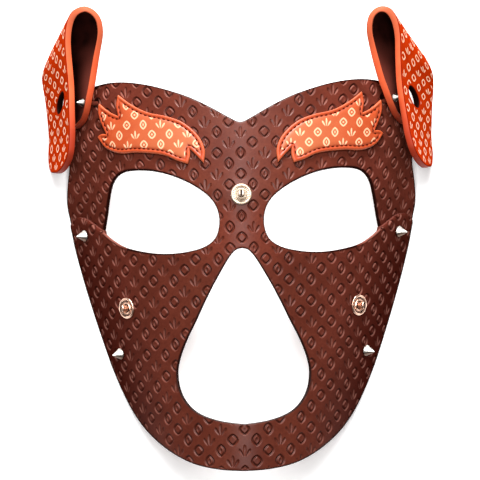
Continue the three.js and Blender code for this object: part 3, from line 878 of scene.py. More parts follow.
# %% Rings, filling points and triangles
def rings_of(loops, depths):
    """Chains that follow each loop at several distances inside it, broken where it is too narrow"""
    chains = []
    for loop in loops:
        for depth in depths:
            moved, far = inset(loop, depth)
            if far.all():
                chains.append(("ring", moved, True))
                continue
            start = int(np.argmin(far))
            moved, far = np.roll(moved, -start, axis=0), np.roll(far, -start)
            breaks = np.nonzero(~far)[0].tolist() + [len(far)]
            for a, b in zip(breaks, breaks[1:]):
                if b - a > 2:
                    chains.append(("ring", moved[a + 1:b], False))
    return chains


row_share = 0.866    # the rows of a hexagonal net are this share of its spacing apart
clear_share = 0.6    # and its points keep at least this share of it from the points of the chains


def fill(loops, spacing, taken):
    """A hexagonal net of points inside the loops, clear of the points that are there already"""
    low, high = np.vstack(loops).min(0), np.vstack(loops).max(0)
    rows = np.arange(low[1], high[1], spacing * row_share)
    columns = np.arange(low[0], high[0], spacing)
    net = np.array([(c + spacing / 2 * (k % 2), r) for k, r in enumerate(rows) for c in columns])
    net = net[inside(net, loops)]
    tree = kdtree.KDTree(len(taken))
    for k, (x, y) in enumerate(taken.tolist()):
        tree.insert((x, y, 0), k)
    tree.balance()
    keep = [tree.find((x, y, 0))[2] > spacing * clear_share for x, y in net.tolist()]
    return net[np.array(keep, bool)]


print("rings 1 and 3 mm inside a brow:", len(rings_of([brow_front], (1.0, 3.0))))

# %% Triangles that follow the chains
weld = 0.02    # points nearer than about this, in millimetres, are one


def merged(points):
    """The points that are left when near ones are taken as one, and the new name of each old one"""
    names = np.arange(len(points))
    for shift in (0.0, 0.5):
        rounded = np.round(points / weld + shift)
        _, first, group = np.unique(rounded, axis=0, return_index=True, return_inverse=True)
        points, names = points[first], group.ravel()[names]
    return points, names


def cut_up(points, edges):
    """Blender's own triangulation of flat points, in which the given edges are kept"""
    return geometry.delaunay_2d_cdt([Vector(point) for point in points], edges, [], 0, 1e-5, True)


def triangulate(chains, loose):
    """Triangles whose sides follow the chains, and the edges that belong to each kind of chain"""
    points, edges, tags = [], [], []
    for tag, chain, closed in chains:
        base, count = len(points), len(chain)
        points.extend(chain.tolist())
        for k in range(count if closed else count - 1):
            edges.append((base + k, base + (k + 1) % count))
            tags.append(tag)
    points = np.array(points + loose.tolist())
    for _ in range(2):
        made = cut_up(points.tolist(), edges)
        points, names = merged(np.array([tuple(point) for point in made[0]]))
        tagged = {}
        for (a, b), sources in zip(made[1], made[4]):
            pair = (int(min(names[a], names[b])), int(max(names[a], names[b])))
            if pair[0] != pair[1]:
                for source in sources:
                    tagged.setdefault(tags[source], set()).add(pair)
        edges = [pair for found in tagged.values() for pair in found]
        tags = [tag for tag, found in tagged.items() for _ in found]
    triangles = names[np.array(made[2])]
    whole = (triangles != np.roll(triangles, 1, axis=1)).all(1)
    return points, triangles[whole], tagged


square = np.array([(0, 0), (10, 0), (10, 10), (0, 10)], float)
square_points, square_faces, _ = triangulate([("ring", square, True)], fill([square], 3.0, square))
print("triangles on a 10 mm square, points 3 mm apart:", len(square_faces))


# %% The back of a piece, on the same rim
def back_triangles(flat, triangles, tuck, loops, spacing):
    """Coarser triangles with the face's rim and the tuck line. Adds its own points to flat"""
    sides = np.vstack([triangles[:, [0, 1]], triangles[:, [1, 2]], triangles[:, [2, 0]]]).tolist()
    there = set(map(tuple, sides))
    rim = [(a, b) for a, b in there if (b, a) not in there]
    kept = rim + [(a, b) for a, b in tuck if (a, b) in there or (b, a) in there]
    used = sorted({k for edge in kept for k in edge})
    local = {k: n for n, k in enumerate(used)}
    loose = fill(loops, spacing, flat[used])
    made = cut_up(flat[used].tolist() + loose.tolist(), [(local[a], local[b]) for a, b in kept])
    names, extra = [], []
    for point, origin in zip(made[0], made[3]):
        known = [k for k in origin if k < len(used)]
        names.append(used[known[0]] if known else len(flat) + len(extra))
        if not known:
            extra.append(tuple(point))
    flat = np.vstack([flat, np.array(extra, float).reshape(-1, 2)])
    back = np.array(names)[np.array(made[2])]
    rim = np.array(rim)
    within = inside(flat[back].mean(1), None, (flat[rim[:, 0]], flat[rim[:, 1]]))
    return flat, back[within][:, ::-1]


square_back = back_triangles(square_points, square_faces, [], [square], 5.0)[1]
print("triangles on its back, points 5 mm apart:", len(square_back))


# %% Open edges, and where a step ends in a wall
def open_edges(corners):
    """Directed edges that only one triangle uses: {(point, point): (corner, corner)}"""
    found = {(t[a], t[b]) for t in corners.tolist() for a, b in ((0, 1), (1, 2), (2, 0))}
    return {(a // 4, b // 4): (a, b) for a, b in found if (b, a) not in found}


def with_step_ends(walls, places, index):
    """Walls in which the side that runs past the end of a step has a point where the step meets it"""
    sides = {}
    for quad in walls:
        for top, back in ((quad[1], quad[2]), (quad[0], quad[3])):
            sides.setdefault(top // 4, set()).add((top, back))
    between = {}

    def height(pair):
        return np.linalg.norm(places[index[pair[0]]] - places[index[pair[1]]])

    for pairs in sides.values():
        if len(pairs) == 2:
            tall, short = sorted(pairs, reverse=True, key=height)
            between[tall] = [corner for corner in short if corner not in tall]
    return [(b, a, *between.get((a, back_a), []), back_a, back_b, *between.get((b, back_b), []))
            for b, a, back_a, back_b in walls]


lone_triangle = np.array([[0, 4, 8]])
print("open edges of a lone triangle:", sorted(open_edges(lone_triangle)))


# %% Corners, walls and steps
def one_panel(points, layer):
    """The panel test of a piece that has no dart"""
    return np.zeros(len(points), bool)


def panel_corners(flat, layers, tagged, panel):
    """The corners of both layers' triangles, numbered 4 * point + 2 * layer + panel, so that a point
    on a dart has one corner for each panel. Also says which points lie on a line between panels"""
    corners, on_line = [], []
    for layer, (faces, tag) in enumerate(zip(layers, ("dart", "tuck"))):
        line = np.zeros(len(flat), bool)
        line[np.unique(np.array(list(tagged.get(tag, [])), int))] = True
        sunk = panel(flat[faces].mean(1), layer)[:, None] & line[faces]
        corners.append(faces * 4 + layer * 2 + sunk)
        on_line.append(line)
    return corners, on_line


def walls_and_steps(corners):
    """Quads that join the two faces round the rim, and quads that join two panels of one face"""
    opened = [open_edges(faces) for faces in corners]
    walls, steps = [], []
    for layer in (0, 1):
        for (a, b), (corner_a, corner_b) in opened[layer].items():
            if (b, a) in opened[layer]:
                other_b, other_a = opened[layer][(b, a)]
                if a < b:
                    steps.append((corner_b, corner_a, other_a, other_b))
            elif layer == 0:
                back_b, back_a = opened[1][(b, a)]
                walls.append((corner_b, corner_a, back_a, back_b))
    return walls, steps


two_layers = [lone_triangle, lone_triangle[:, ::-1] + 2]
print("walls round a lone triangle:", len(walls_and_steps(two_layers)[0]))

# %% [markdown]
# ### The mesh itself
# However a piece is shaped, it becomes a Blender mesh in the same way: points and faces, a list of
# finishes with a number for each face, and smooth shading that stops at sharp edges. Each piece of
# leather or metal then takes the place of one solid of the CAD model, which is hidden, and hangs
# from the root body.


# %% Making a mesh and tying it to a CAD part
def mesh_piece(name, places, faces, finishes, kinds, sharp_angle):
    """kinds gives the number of each face's finish"""
    mesh = bpy.data.meshes.new(name)
    mesh.from_pydata(places.tolist(), [], faces)
    for finish in finishes:
        mesh.materials.append(finish.material)
    mesh.polygons.foreach_set("material_index", np.asarray(kinds, np.int32))
    mesh.polygons.foreach_set("use_smooth", np.ones(len(faces), bool))
    mesh.set_sharp_from_angle(angle=math.radians(sharp_angle))
    mesh.update()
    piece = bpy.data.objects.new(name, mesh)
    bpy.context.scene.collection.objects.link(piece)
    return piece


def stands_for(piece, node):
    """The piece takes the place of a CAD node, which is hidden, and hangs from the root body"""
    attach(piece, "root")
    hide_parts(node)


print("solids to stand for:", len(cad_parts))

# %% Both faces and the walls between them
face_finish, back_finish, cut_finish, step_finish, print_finish = range(5)
sharp_leather = 62    # edges that turn by more than this many degrees are drawn sharp


def nowhere(middles):
    """The print test of a piece that has no print"""
    return np.zeros(len(middles), bool)


def leather_piece(name, loops, chains, lift, finishes, spacing, back_spacing=None, printed=nowhere,
                  panel=one_panel, flip=False, bored=None, painted=0.0):
    """finishes are those of the face, back, cut edge, stepped edge and print. lift gives places and
    marks for pattern points on a layer, 0 the face and 1 the back; panel says where a layer is sunk.
    Without a back_spacing the back has the face's triangles. bored loops have the stepped edge's
    finish, and painted is how far the cut edge's finish runs on over the back"""
    chains = [("outline", loop, True) for loop in loops] + chains
    loose = fill(loops, spacing, np.vstack([chain for _, chain, _ in chains]))
    flat, triangles, tagged = triangulate(chains, loose)
    triangles = triangles[inside(flat[triangles].mean(1), loops)]
    back = triangles[:, ::-1]
    if back_spacing:
        flat, back = back_triangles(flat, triangles, tagged.get("tuck", []), loops, back_spacing)
    corners, on_line = panel_corners(flat, (triangles, back), tagged, panel)
    walls, steps = walls_and_steps(corners)

    codes = np.unique(np.concatenate([faces.ravel() for faces in corners]))
    ids, layer = codes // 4, codes % 4 // 2
    known = np.where(layer == 0, on_line[0][ids], on_line[1][ids])
    guess = np.where(layer == 0, panel(flat[ids], 0), panel(flat[ids], 1))
    places, marks = lift(flat[ids], layer, np.where(known, codes % 2 == 1, guess))
    index = {code: n for n, code in enumerate(codes.tolist())}
    faces = np.searchsorted(codes, np.vstack(corners)).tolist()
    for quad in with_step_ends(walls, places, index) + steps:
        faces.append([index[code] for code in dict.fromkeys(quad)])
    if flip:
        faces = [face[::-1] for face in faces]

    cut = np.full(len(walls), cut_finish)
    if bored:
        cut[distance_to(flat[np.array(walls)[:, 0] // 4], bored) < 0.05] = step_finish
    on_paint = distance_to(flat[back].mean(1), loops[:1]) < painted
    kinds = np.concatenate([np.where(printed(flat[triangles].mean(1)), print_finish, face_finish),
                            np.where(on_paint, cut_finish, back_finish),
                            cut, np.full(len(steps), step_finish)])
    piece = mesh_piece(name, places, faces, finishes, kinds, sharp_leather)
    for mark, values in marks.items():
        attribute = piece.data.attributes.new(mark, "FLOAT", "POINT")
        attribute.data.foreach_set("value", values.astype(np.float32))
    print(name, len(triangles) + len(back) + 2 * len(walls + steps), "triangles,", len(steps), "steps")
    return piece

# %% [markdown]
# ## The mask
# The face side carries the pressed motifs and a rounded edge, and the back is plain suede. The dart
# line splits the face in two panels, and the line where the tucked strip ends splits the back.

# %% Laying an outline on the sheet
gap = 0.3    # between the sheet and whatever is set on it


def lay_on_sheet(loop, offset):
    """The cutting pattern of an outline seen from the front, offset off the sheet"""
    s, y = sheet_under(loop[:, 0], loop[:, 1], np.zeros(len(loop)))
    for _ in range(2):
        s, y = sheet_under(loop[:, 0], loop[:, 1], offset(s, y))
    return np.stack([s, y], 1)


def face_offset(s, y):
    """How far off the sheet the mask's face is"""
    v = y - dart_at(s)
    return np.where(v > 0, -lap_at(s, v), 0.0)


def dart_end(x, y, sunk):
    """Where the edge seen at x, y meets the dart line, on the sunk strip or on the cheek panel"""
    for _ in range(6):
        s, high = sheet_under(x, y, -lap_at(sheet_under(x, y, 0.0)[0], 0.0) * sunk)
        y = y + dart_at(s) - high
    return float(s), float(dart_at(s))


dart_starts = 80    # both darts lie farther than this from the middle


def with_dart_ends(front):
    """An outline laid on the sheet, with a point for each panel where it crosses a dart"""
    loop = lay_on_sheet(front, face_offset)
    v = loop[:, 1] - dart_at(loop[:, 0])
    points, ends = [], {}
    for k in range(len(loop)):
        points.append(loop[k])
        after = (k + 1) % len(loop)
        if (v[k] > 0) != (v[after] > 0) and abs(front[k, 0]) > dart_starts:
            x, y = mix(front[k], front[after], v[k] / (v[k] - v[after]))
            pair = [dart_end(x, y, True), dart_end(x, y, False)]
            points.extend(pair if v[k] > 0 else pair[::-1])
            ends[x > 0] = pair
    return np.array(points), ends


print("the strip dips at a temple by", round(-float(face_offset(110.0, 5.0)), 2), "mm")

# %% Clear of the floor
floor_gap = 0.15
skived = 1.4    # how much of the thickness is pared away at the rim
skive_width = 4.5


def off_floor(points):
    """Pattern points drawn in towards the ridge until the back of the leather clears the floor"""
    points = np.array(points, float)
    on_dart = np.abs(points[:, 1] - dart_at(points[:, 0])) < 1e-6
    for _ in range(15):
        s, y = points.T
        v = y - dart_at(s)
        back = skived - leather - lap_at(s, np.maximum(0, v)) * (v > -dart_tuck)
        height = to_part(sheet_point(s, y, back)[0])[:, 2] * 1000
        points[:, 0] -= np.sign(s) * np.maximum(0, floor_gap - height)
        points[on_dart, 1] = dart_at(points[on_dart, 0])
    apart = np.linalg.norm(points - np.roll(points, -1, axis=0), axis=1) > 0.1
    return points[apart] if len(points) > 2 else points


print("pared rim:", round(leather - skived, 2), "mm thick")

# %% Mask patterns and the lines between panels
mask_loop, rim_ends = with_dart_ends(mask_front)
mask_loop = off_floor(mask_loop)
rim_sunk = off_floor(rim_ends[True])[0]
rim_panel = mask_loop[np.argmin(np.linalg.norm(mask_loop - rim_sunk, axis=1))]
eye_loop, eye_ends = with_dart_ends(eye_front)
muzzle_loop = lay_on_sheet(muzzle_front, face_offset)
mask_loops = [mask_loop, eye_loop[::-1], mirrored(eye_loop)[::-1], muzzle_loop[::-1]]
eye_sunk, eye_panel = eye_ends[True]
along = np.linspace(eye_sunk[0], rim_panel[0], 26)
dart_chain = np.array([eye_panel, eye_sunk] + [(s, dart_at(s)) for s in along[1:-1]] + [rim_panel])
tuck_s = np.linspace(101.5, 150, 40)
tuck_chain = np.vstack([[(98.7, -4.9), (98.9, -7.5), (99.9, -11.5)],
                        np.stack([tuck_s, dart_at(tuck_s) - dart_tuck], 1)])
print("dart runs from", np.round(eye_panel, 1), "to", np.round(rim_panel, 1))
print("pattern size, mm:", np.ptp(mask_loop, axis=0).round(1))

# %% Places for the fittings on the mask
stud_shank, snap_shank = 1.4, 2.0
snap_seats = ("bridge", "cheek_left", "cheek_right")


def round_hole(place, centre, radius, count):
    """Clockwise loop on a pattern that is a circle once the pattern is bent"""
    centre = np.array(centre, float)
    here = place(centre[None])[0]
    slopes = np.stack([(place((centre + step)[None])[0] - here) / 0.1 for step in ((0.1, 0), (0, 0.1))], 1)
    stretch = np.linalg.inv(np.linalg.cholesky(slopes.T @ slopes).T)
    return (centre + circle(0, 0, radius, count) @ stretch.T)[::-1]


def sheet_place(points):
    return sheet_point(points[:, 0], points[:, 1], 0 * points[:, 0])[0]


def seat_on(x, y):
    """Place and direction of a fitting seen at x, y, and where it is on the pattern"""
    s, high = sheet_under(x, y, 0.0)
    point, normal = sheet_point(s, high, 0.0)
    return point, normal, (float(s), float(high))


mirror = np.array([-1, 1, 1])
seats = {"bridge": seat_on(0.0, 15.0)}
for name, x, y in (("cheek_upper", 94.4, -8.2), ("cheek_lower", 73.4, -79.2), ("cheek", 69.0, -51.8)):
    point, normal, (s, high) = seat_on(x, y)
    seats[name + "_right"] = (point, normal, (s, high))
    seats[name + "_left"] = (point * mirror, normal * mirror, (-s, high))
for name, (_, _, (s, high)) in seats.items():
    shank = snap_shank if name in snap_seats else stud_shank
    mask_loops.append(round_hole(sheet_place, (s, high), shank + gap, 16))
print("fittings on the mask:", sorted(seats))

# %% [markdown]
# ### Ears on paper
# Each ear is a strip looped over like a ribbon: it starts at a point pinned on the temple, climbs
# the inner leg, folds, and hangs down as the outer flap. The front edge is a curve seen from the
# front, and a table says how far the back edge leans out and down at places along it. Across the
# strip it is straight, which is how real leather bends.

# %% Ear forms
# "path" is the front edge as x and y. "lean" gives, at a distance along it, how far the back edge
# lies out and down from the front edge, and the front edge's own height off the face.
ear_forms = {
    "left": {
        "path": [(92.4, 57), (91, 66), (90.1, 75.3), (88.5, 84.3), (85.8, 99), (83.6, 109.5),
                 (83.1, 115.5), (84.1, 121.5), (86.5, 125.4), (89.6, 127.7), (93, 128.6), (97.4, 127),
                 (100.1, 123.9), (101.7, 119.4), (102.7, 112.8), (102.7, 104), (101.1, 82.4),
                 (100.8, 67.4), (100.6, 55.4), (101, 46), (103, 29.5)],
        "lean": [(0, 12, 0, -54), (36, 16.5, 1, -54), (51, 24.5, 12, -54), (77, 12.5, 20, -55),
                 (90, 11.5, 20, -55), (100, 13.7, 16.5, -53), (110, 16.3, 12.5, -51), (124, 16, 8, -48),
                 (143, 14.6, 3, -44), (160, 13.8, 0, -41), (181, 13, 0, -38)],
        "hole": 137},
    "right": {
        "path": [(92.4, 57), (90.4, 66), (87.4, 77), (85.3, 83.1), (82.4, 93.5), (79.6, 104.8),
                 (78.3, 112.1), (78.6, 118.1), (80.2, 122.6), (83.4, 125.5), (86.8, 126.1), (90.1, 124.8),
                 (92.8, 120.9), (94.4, 115.4), (95.2, 108.2), (95.2, 98), (95.6, 82.6), (96.9, 70.6),
                 (98.7, 58.6), (100.5, 48.4), (105.5, 30)],
        "lean": [(0, 12, 0, -54), (38, 15, 2, -54), (53, 23, 12, -54), (75, 12.5, 19, -55),
                 (84, 13, 18, -54), (93, 17, 17.5, -52), (106, 21.2, 12.5, -50), (122, 20.5, 7, -48),
                 (134, 18.2, 3.5, -46), (147, 15.8, 1, -44), (157, 13.6, 0, -42), (176, 10.5, 0, -39)],
        "hole": 131}}
print("holes in the flaps, mm along:", [form["hole"] for form in ear_forms.values()])

# %% The mask's wall, and places along a strip
fine_end, tip_cut = 12, 0.4    # the places lie closer here, and stop short of the tips


def wall_at(y, z):
    """Distance from the middle at which the mask's wall passes a height z"""
    near, far = 0 * y, 160 + 0 * y
    for _ in range(30):
        middle = (near + far) / 2
        above = crown(y) + section_at(middle, y)[1] > z
        near, far = np.where(above, middle, near), np.where(above, far, middle)
    return section_at(near, y)[0]


def strip_places(length):
    """Places along a strip, closer together near its tips"""
    start = np.linspace(0, 1, 19)[:-1] ** 2 * fine_end
    end = length - np.linspace(1, 0, 19)[1:] ** 2 * fine_end
    between = np.linspace(fine_end, length - fine_end, 110)
    return np.unique(np.clip(np.concatenate([start, between, end]), tip_cut, length - tip_cut))


print("places along a strip of 180 mm:", len(strip_places(180.0)))

# %% Ear strips
ear_leather_thickness = 3.8
leg_width, fold_width, flap_width = 36, 34, 43
pinned_tip, loose_tip = 27, 15    # lengths over which the strip narrows to its two tips
leg_pivot, flap_pivot = 0.5, 0.66    # share of the width at which each tip ends
fold_share, tip_roundness, wall_gap = 0.435, 2.2, 0.9
blur = (-4, -2, 0, 2, 4)    # the lean is averaged over these places, which rounds its corners


def ear_strip(form):
    """Tables along the strip: front edge points, the vectors to the back edge, and how open it is"""
    front_line, length = spline(form["path"], 241)
    t = strip_places(length)
    x, y = read_off(t, np.linspace(0, length, 241), front_line).T
    table = np.array(form["lean"], float)
    out, down, front = np.mean([read_off(t + shift, table[:, 0], table[:, 1:]) for shift in blur], 0).T
    fold = length * fold_share
    inner = t < fold
    width = mix(fold_width, np.where(inner, leg_width, flap_width), smooth(10, 40, np.abs(t - fold)))
    tip = np.where(inner, pinned_tip, loose_tip)
    from_tip = np.minimum(np.where(inner, t, length - t), tip) / tip
    opened = np.sqrt(np.maximum(0, 1 - (1 - from_tip) ** tip_roundness))
    depth = np.sqrt(width ** 2 - out ** 2 - down ** 2)
    clear = x.copy()
    for deep in range(6, leg_width + 1, 4):
        wall = wall_at(y, front - deep) - deep * out / depth
        clear = np.maximum(clear, wall + ear_leather_thickness / 2 + wall_gap)
    edge = np.where(inner, mix(clear, x, smooth(86, 94, y)), x)
    pivot = np.where(inner, leg_pivot, flap_pivot)
    return {"t": t, "edge": np.stack([edge, y, front], 1),
            "across": np.stack([out, -down, -depth], 1),
            "low": pivot * (1 - opened), "high": pivot + (1 - pivot) * opened}


def ear_bend(strip, along, share):
    """Points on the middle of the strip and the direction that the printed side faces"""
    def at(t):
        across = read_off(t, strip["t"], strip["across"])
        return read_off(t, strip["t"], strip["edge"]) + across * share[:, None], across

    low, high = strip["t"][0], strip["t"][-1]
    place, across = at(along)
    ahead, behind = at(np.minimum(along + 1.2, high))[0], at(np.maximum(along - 1.2, low))[0]
    normal = np.cross(ahead - behind, across)
    return place, normal / np.linalg.norm(normal, axis=1, keepdims=True)


ear_strips = {side: ear_strip(form) for side, form in ear_forms.items()}
print("ear strips, mm long:", {side: round(strip["t"][-1]) for side, strip in ear_strips.items()})

# %% Where each ear is pinned
pin_along, pin_share, pin_size = 15, 0.14, 0.75
for side, strip in ear_strips.items():
    middle, facing = ear_bend(strip, np.array([float(pin_along)]), np.array([pin_share]))
    normal = facing[0] if facing[0][0] > 0 else -facing[0]
    point = middle[0] + normal * ear_leather_thickness / 2
    tried = np.arange(60, 140, 0.25)    # the pin comes out of the back of the mask at one of these
    backs = sheet_point(tried, np.full(len(tried), point[1]), np.full(len(tried), -leather))[0]
    deep = (point - backs) @ normal
    nearest = int(np.argmin(np.linalg.norm(point - backs - deep[:, None] * normal, axis=1)))
    strip["through"] = deep[nearest]
    s, high = sheet_under(backs[nearest][0], backs[nearest][1], -leather)
    flip = mirror if side == "left" else np.ones(3)
    seats["ear_" + side] = (point * flip, normal * flip, (float(s) * flip[0], float(high)))
    mask_loops.append(round_hole(sheet_place, seats["ear_" + side][2], stud_shank + gap, 16))
    print("the", side, "ear's stud passes through", round(deep[nearest], 1), "mm")

# %% [markdown]
# ### Pressing and cutting the mask
# The motifs are pressed 0.8 mm deep with short walls, and fade out next to the rim. How much the
# depth changes over a small step towards the light tells which walls face it, and that gives two
# marks: the walls that face the light are painted paler as a highlight, and those that face away are
# painted darker as shade. The rim is rounded over and carries a darker band, apart from the lower
# corner of each eye, where the cheek panel's raw edge goes on from the dart and the face beside it
# has a painted highlight.

# %% Panels and lips
mask_layout = Layout(motif_set(1.2, 1.2), 7.2, 12.6, (0.0, 2.0))
strip_area = np.vstack([tuck_chain, [(220, tuck_chain[-1, 1]), (220, 150), (0, 150), (0, 0), (60, 0)]])


def mask_panel(points, layer):
    """True on the temple strip, which is sunk under the cheek panel"""
    if layer == 0:
        return points[:, 1] > dart_at(points[:, 0])
    return inside(np.abs(points) * [1, 0] + points * [0, 1], [strip_area])


dart_lip = dart_chain[1:-1]
there_and_back = np.vstack([dart_lip, dart_lip[-2:0:-1]])    # a loop with no side of its own
bare_from = 77    # the eye's lower edge has a raw cut edge from here out to the dart, with a painted highlight beside it
on_panel = eye_loop[:, 1] < dart_at(eye_loop[:, 0]) + 0.01
bare_rim = eye_loop[(eye_loop[:, 0] > bare_from + 4) & on_panel]
print("points on the bare corner of an eye:", len(bare_rim))

# %% Lifting the mask's leather
press_depth = 0.8
press_wall = 0.5    # half the width of a groove's wall, outside and inside the motif's edge
rim_fall, rim_round, lip_fall, lip_round = 0.85, 1.1, 1.1, 1.3
unpressed_rim = (0.4, 2.2)    # the pressing fades in between these distances from the rim
turned_away = 2.4    # the dark rim reaches this much farther in where the sheet is seen edge-on


def turn_over(fall, radius, distance):
    """How far a rounded edge has fallen at a distance from the cut"""
    return fall * (1 - np.sqrt(1 - np.clip((radius - distance) / radius, 0, 1) ** 2))


def pressing(points, face, rim, shift):
    """How far each point is pressed, 0 to 1, once the pattern has moved by shift away from the light"""
    side = np.sign(points[:, 0])
    towards_light = np.stack([-0.6 * side, 0.8 + 0 * side], 1)
    within = mask_layout.signed(points[face] + shift * towards_light[face])
    deep = np.zeros(len(points))
    deep[face] = smooth(-0.6 * press_wall, press_wall, within)
    return deep * smooth(*unpressed_rim, rim)


def lift_mask(points, layer, sunk):
    s, y = points.T
    rim = distance_to(points, mask_loops)
    face = layer == 0
    pressed = pressing(points, face, rim, 0.0)
    # which walls face the light, for the painted highlight and the painted shade
    facing = pressing(points, face, rim, 0.3) - pressing(points, face, rim, -0.3)
    folded = np.stack([np.abs(s), y], 1)
    lip = np.where(sunk | ~face, 9.0, distance_to(folded, [there_and_back]))
    # painted highlight on the face along the raw edge, where the dark rim band is left out
    corner_highlight = smooth(bare_from, bare_from + 9, folded[:, 0]) * (y < dart_at(s)) * face
    corner_highlight = corner_highlight * np.clip(1 - distance_to(folded, [eye_loop]) / 0.8, 0, 1)
    drop = turn_over(rim_fall, rim_round, rim) + turn_over(lip_fall, lip_round, lip)
    drop = drop + press_depth * pressed
    pared = skived * (1 - smooth(0, skive_width, distance_to(points, mask_loops[:4])))
    w = np.where(face, -drop, pared - leather) - sunk * lap_at(s, np.maximum(0, y - dart_at(s)))
    faces_front = np.clip(sheet_point(s, y, 0.0)[1][:, 2], 0.35, 1)
    edge = np.where(face, np.clip(1 - (rim - turned_away * (1 - faces_front)) / rim_round, 0, 1), 0)
    marks = {"pressed": pressed, "edge": edge * (corner_highlight == 0),
             "worn": np.clip(facing + corner_highlight, 0, 1), "shaded": np.clip(-facing, 0, 1)}
    return to_part(sheet_point(s, y, w)[0]), marks


print("pressed", press_depth, "mm deep into", leather, "mm of leather")


# %% Mask leather, cut and pressed
def both_sides(tag, chain):
    """A chain and its mirror image"""
    return [(tag, chain, False), (tag, chain * [-1, 1], False)]


face_spacing, back_spacing = 2.8, 5.0
mask_chains = (rings_of(mask_loops, (0.2, 0.55, 1.1, 2.1)) + both_sides("dart", dart_chain)
               + both_sides("tuck", tuck_chain) + both_sides("ring", dart_lip - [0, 0.3])
               + both_sides("ring", dart_lip - [0, 1.2])
               + mask_layout.chains(mask_loops, (-0.55, -0.3, 0.1, press_wall)))
mask = leather_piece("mask_embossed", mask_loops, mask_chains, lift_mask,
                     [mask_leather, flesh_side, burnished_edge, raw_edge], face_spacing,
                     back_spacing, panel=mask_panel, bored=[bare_rim, mirrored(bare_rim)])
stands_for(mask, "mask_shell")

# %% [markdown]
# ## The brows
# Each brow is a piece of orange leather sewn on with a dark running stitch a little way in from the
# edge. The thread pulls the leather down into a shallow channel, so the border puffs up outside it.
# The same cutting tool makes them: the channel is only a dip in the lift, at a set distance from
# the edge.

# %% Brow leather
brow_thickness = 2.0
stitch_inset = 2.2
print_inset = 2.7
channel_width, channel_depth = 0.55, 0.5
brow_layout = Layout(motif_set(0.92, 0.95), 5.6, 12.0, (2.0, 3.0))
brow_right_loop = lay_on_sheet(brow_front, lambda s, y: face_offset(s, y) + gap + brow_thickness)


def brow_piece(side, loop):
    def lift(points, layer, sunk):
        s, y = points.T
        rim = distance_to(points, [loop])
        face = layer == 0
        channel = np.exp(-((rim - stitch_inset) / channel_width) ** 2)
        top = brow_thickness - turn_over(0.9, 1.0, rim) - channel_depth * channel
        top = top + 0.1 * smooth(2.8, 6, rim)    # a slight swell inside the stitches
        w = face_offset(s, y) + gap + np.where(face, top, turn_over(0.2, 0.4, rim))
        # marks for the colour: painted shade in the stitch channel, a painted highlight on the rim and the
        # field that takes the painted sheen
        marks = {"pressed": 0.5 * channel * face, "edge": np.clip(1 - rim / 0.8, 0, 1) * face,
                 "worn": smooth(2.0, 3.2, rim) * face}
        return to_part(sheet_point(s, y, w)[0]), marks

    def printed(middles):
        return (distance_to(middles, [loop]) > print_inset) & (brow_layout.signed(middles) > 0)

    rings = rings_of([loop], (0.2, 0.5, 1.0, 1.7, stitch_inset, print_inset, 3.4))
    finishes = [brow_leather, flesh_side, brow_leather, brow_leather, cream_print]
    return leather_piece("brow_cut_" + side, [loop], rings + brow_layout.chains([loop], (0,)), lift,
                         finishes, 1.4, 3.0, printed=printed)


brow_loops = {"right": brow_right_loop, "left": mirrored(brow_right_loop)}
for side, loop in brow_loops.items():
    stands_for(brow_piece(side, loop), "brow_" + side)

# %% [markdown]
# ### Running stitch
# Each stitch is a short plump grain of thread that lies in the channel and dips at both ends, where
# it goes through the leather. They are set at even steps along the line inside the edge, and left
# out at the tips, where the two rows would meet.

# %% One stitch
stitch_length, stitch_width = 1.95, 0.72
stitch_sunk, stitch_rise = 0.42, 0.30    # depth of its ends under the face, and its arch over them
stitch_rings, stitch_sides = 7, 8


def thread_grain(back, middle, front):
    """Points of one stitch, ring after ring, along a curve through three places of the pattern"""
    share = np.linspace(0, 1, stitch_rings)[:, None]
    arch = np.sin(math.pi * share)
    pull = 2 * middle - (back + front) / 2
    line = back * (1 - share) ** 2 + 2 * share * (1 - share) * pull + front * share ** 2
    w = face_offset(*line.T) + gap + brow_thickness - stitch_sunk + stitch_rise * arch[:, 0]
    spine, up = sheet_point(line[:, 0], line[:, 1], w)
    ahead = np.gradient(spine, axis=0)
    ahead = ahead / np.linalg.norm(ahead, axis=1, keepdims=True)
    across = np.cross(up, ahead)
    plump = (0.35 + 0.65 * arch ** 0.5) * stitch_width / 2
    return [spine[k] + plump[k] * (math.cos(a) * across[k] + 0.75 * math.sin(a) * up[k])
            for k in range(stitch_rings) for a in turns(stitch_sides)]


def tube_faces(base):
    """Quads between the rings of one stitch, whose points start at base, and a cap on either end"""
    faces = []
    for ring in range(base, base + (stitch_rings - 1) * stitch_sides, stitch_sides):
        faces += [[ring + j, ring + (j + 1) % stitch_sides, ring + stitch_sides + (j + 1) % stitch_sides,
                   ring + stitch_sides + j] for j in range(stitch_sides)]
    last = base + (stitch_rings - 1) * stitch_sides
    return faces + [list(range(base, base + stitch_sides))[::-1], list(range(last, last + stitch_sides))]


print("faces of a stitch:", len(tube_faces(0)))

# %% Rows of stitches
stitch_step = 3.05


def stitch_row(loop):
    """Back, middle and front of each stitch on a pattern"""
    found = []
    for _, chain, closed in rings_of([loop], (stitch_inset,)):
        chain = np.vstack([chain, chain[:1]]) if closed else chain
        along = along_line(chain)
        count = int((along[-1] - stitch_length) // stitch_step)
        if count < 1:
            continue
        places = (along[-1] - (count - 1) * stitch_step) / 2 + np.arange(count) * stitch_step
        found += list(zip(*(read_off(places + shift, along, chain)
                            for shift in (-stitch_length / 2, 0, stitch_length / 2))))
    return found


for side, loop in brow_loops.items():
    grains = [thread_grain(*stitch) for stitch in stitch_row(loop)]
    faces = [face for k, grain in enumerate(grains) for face in tube_faces(k * len(grain))]
    row = mesh_piece("stitching_" + side, to_part(np.vstack(grains)), faces, [thread],
                     np.zeros(len(faces)), 80)
    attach(row, "root")
    print(row.name, len(grains), "stitches")

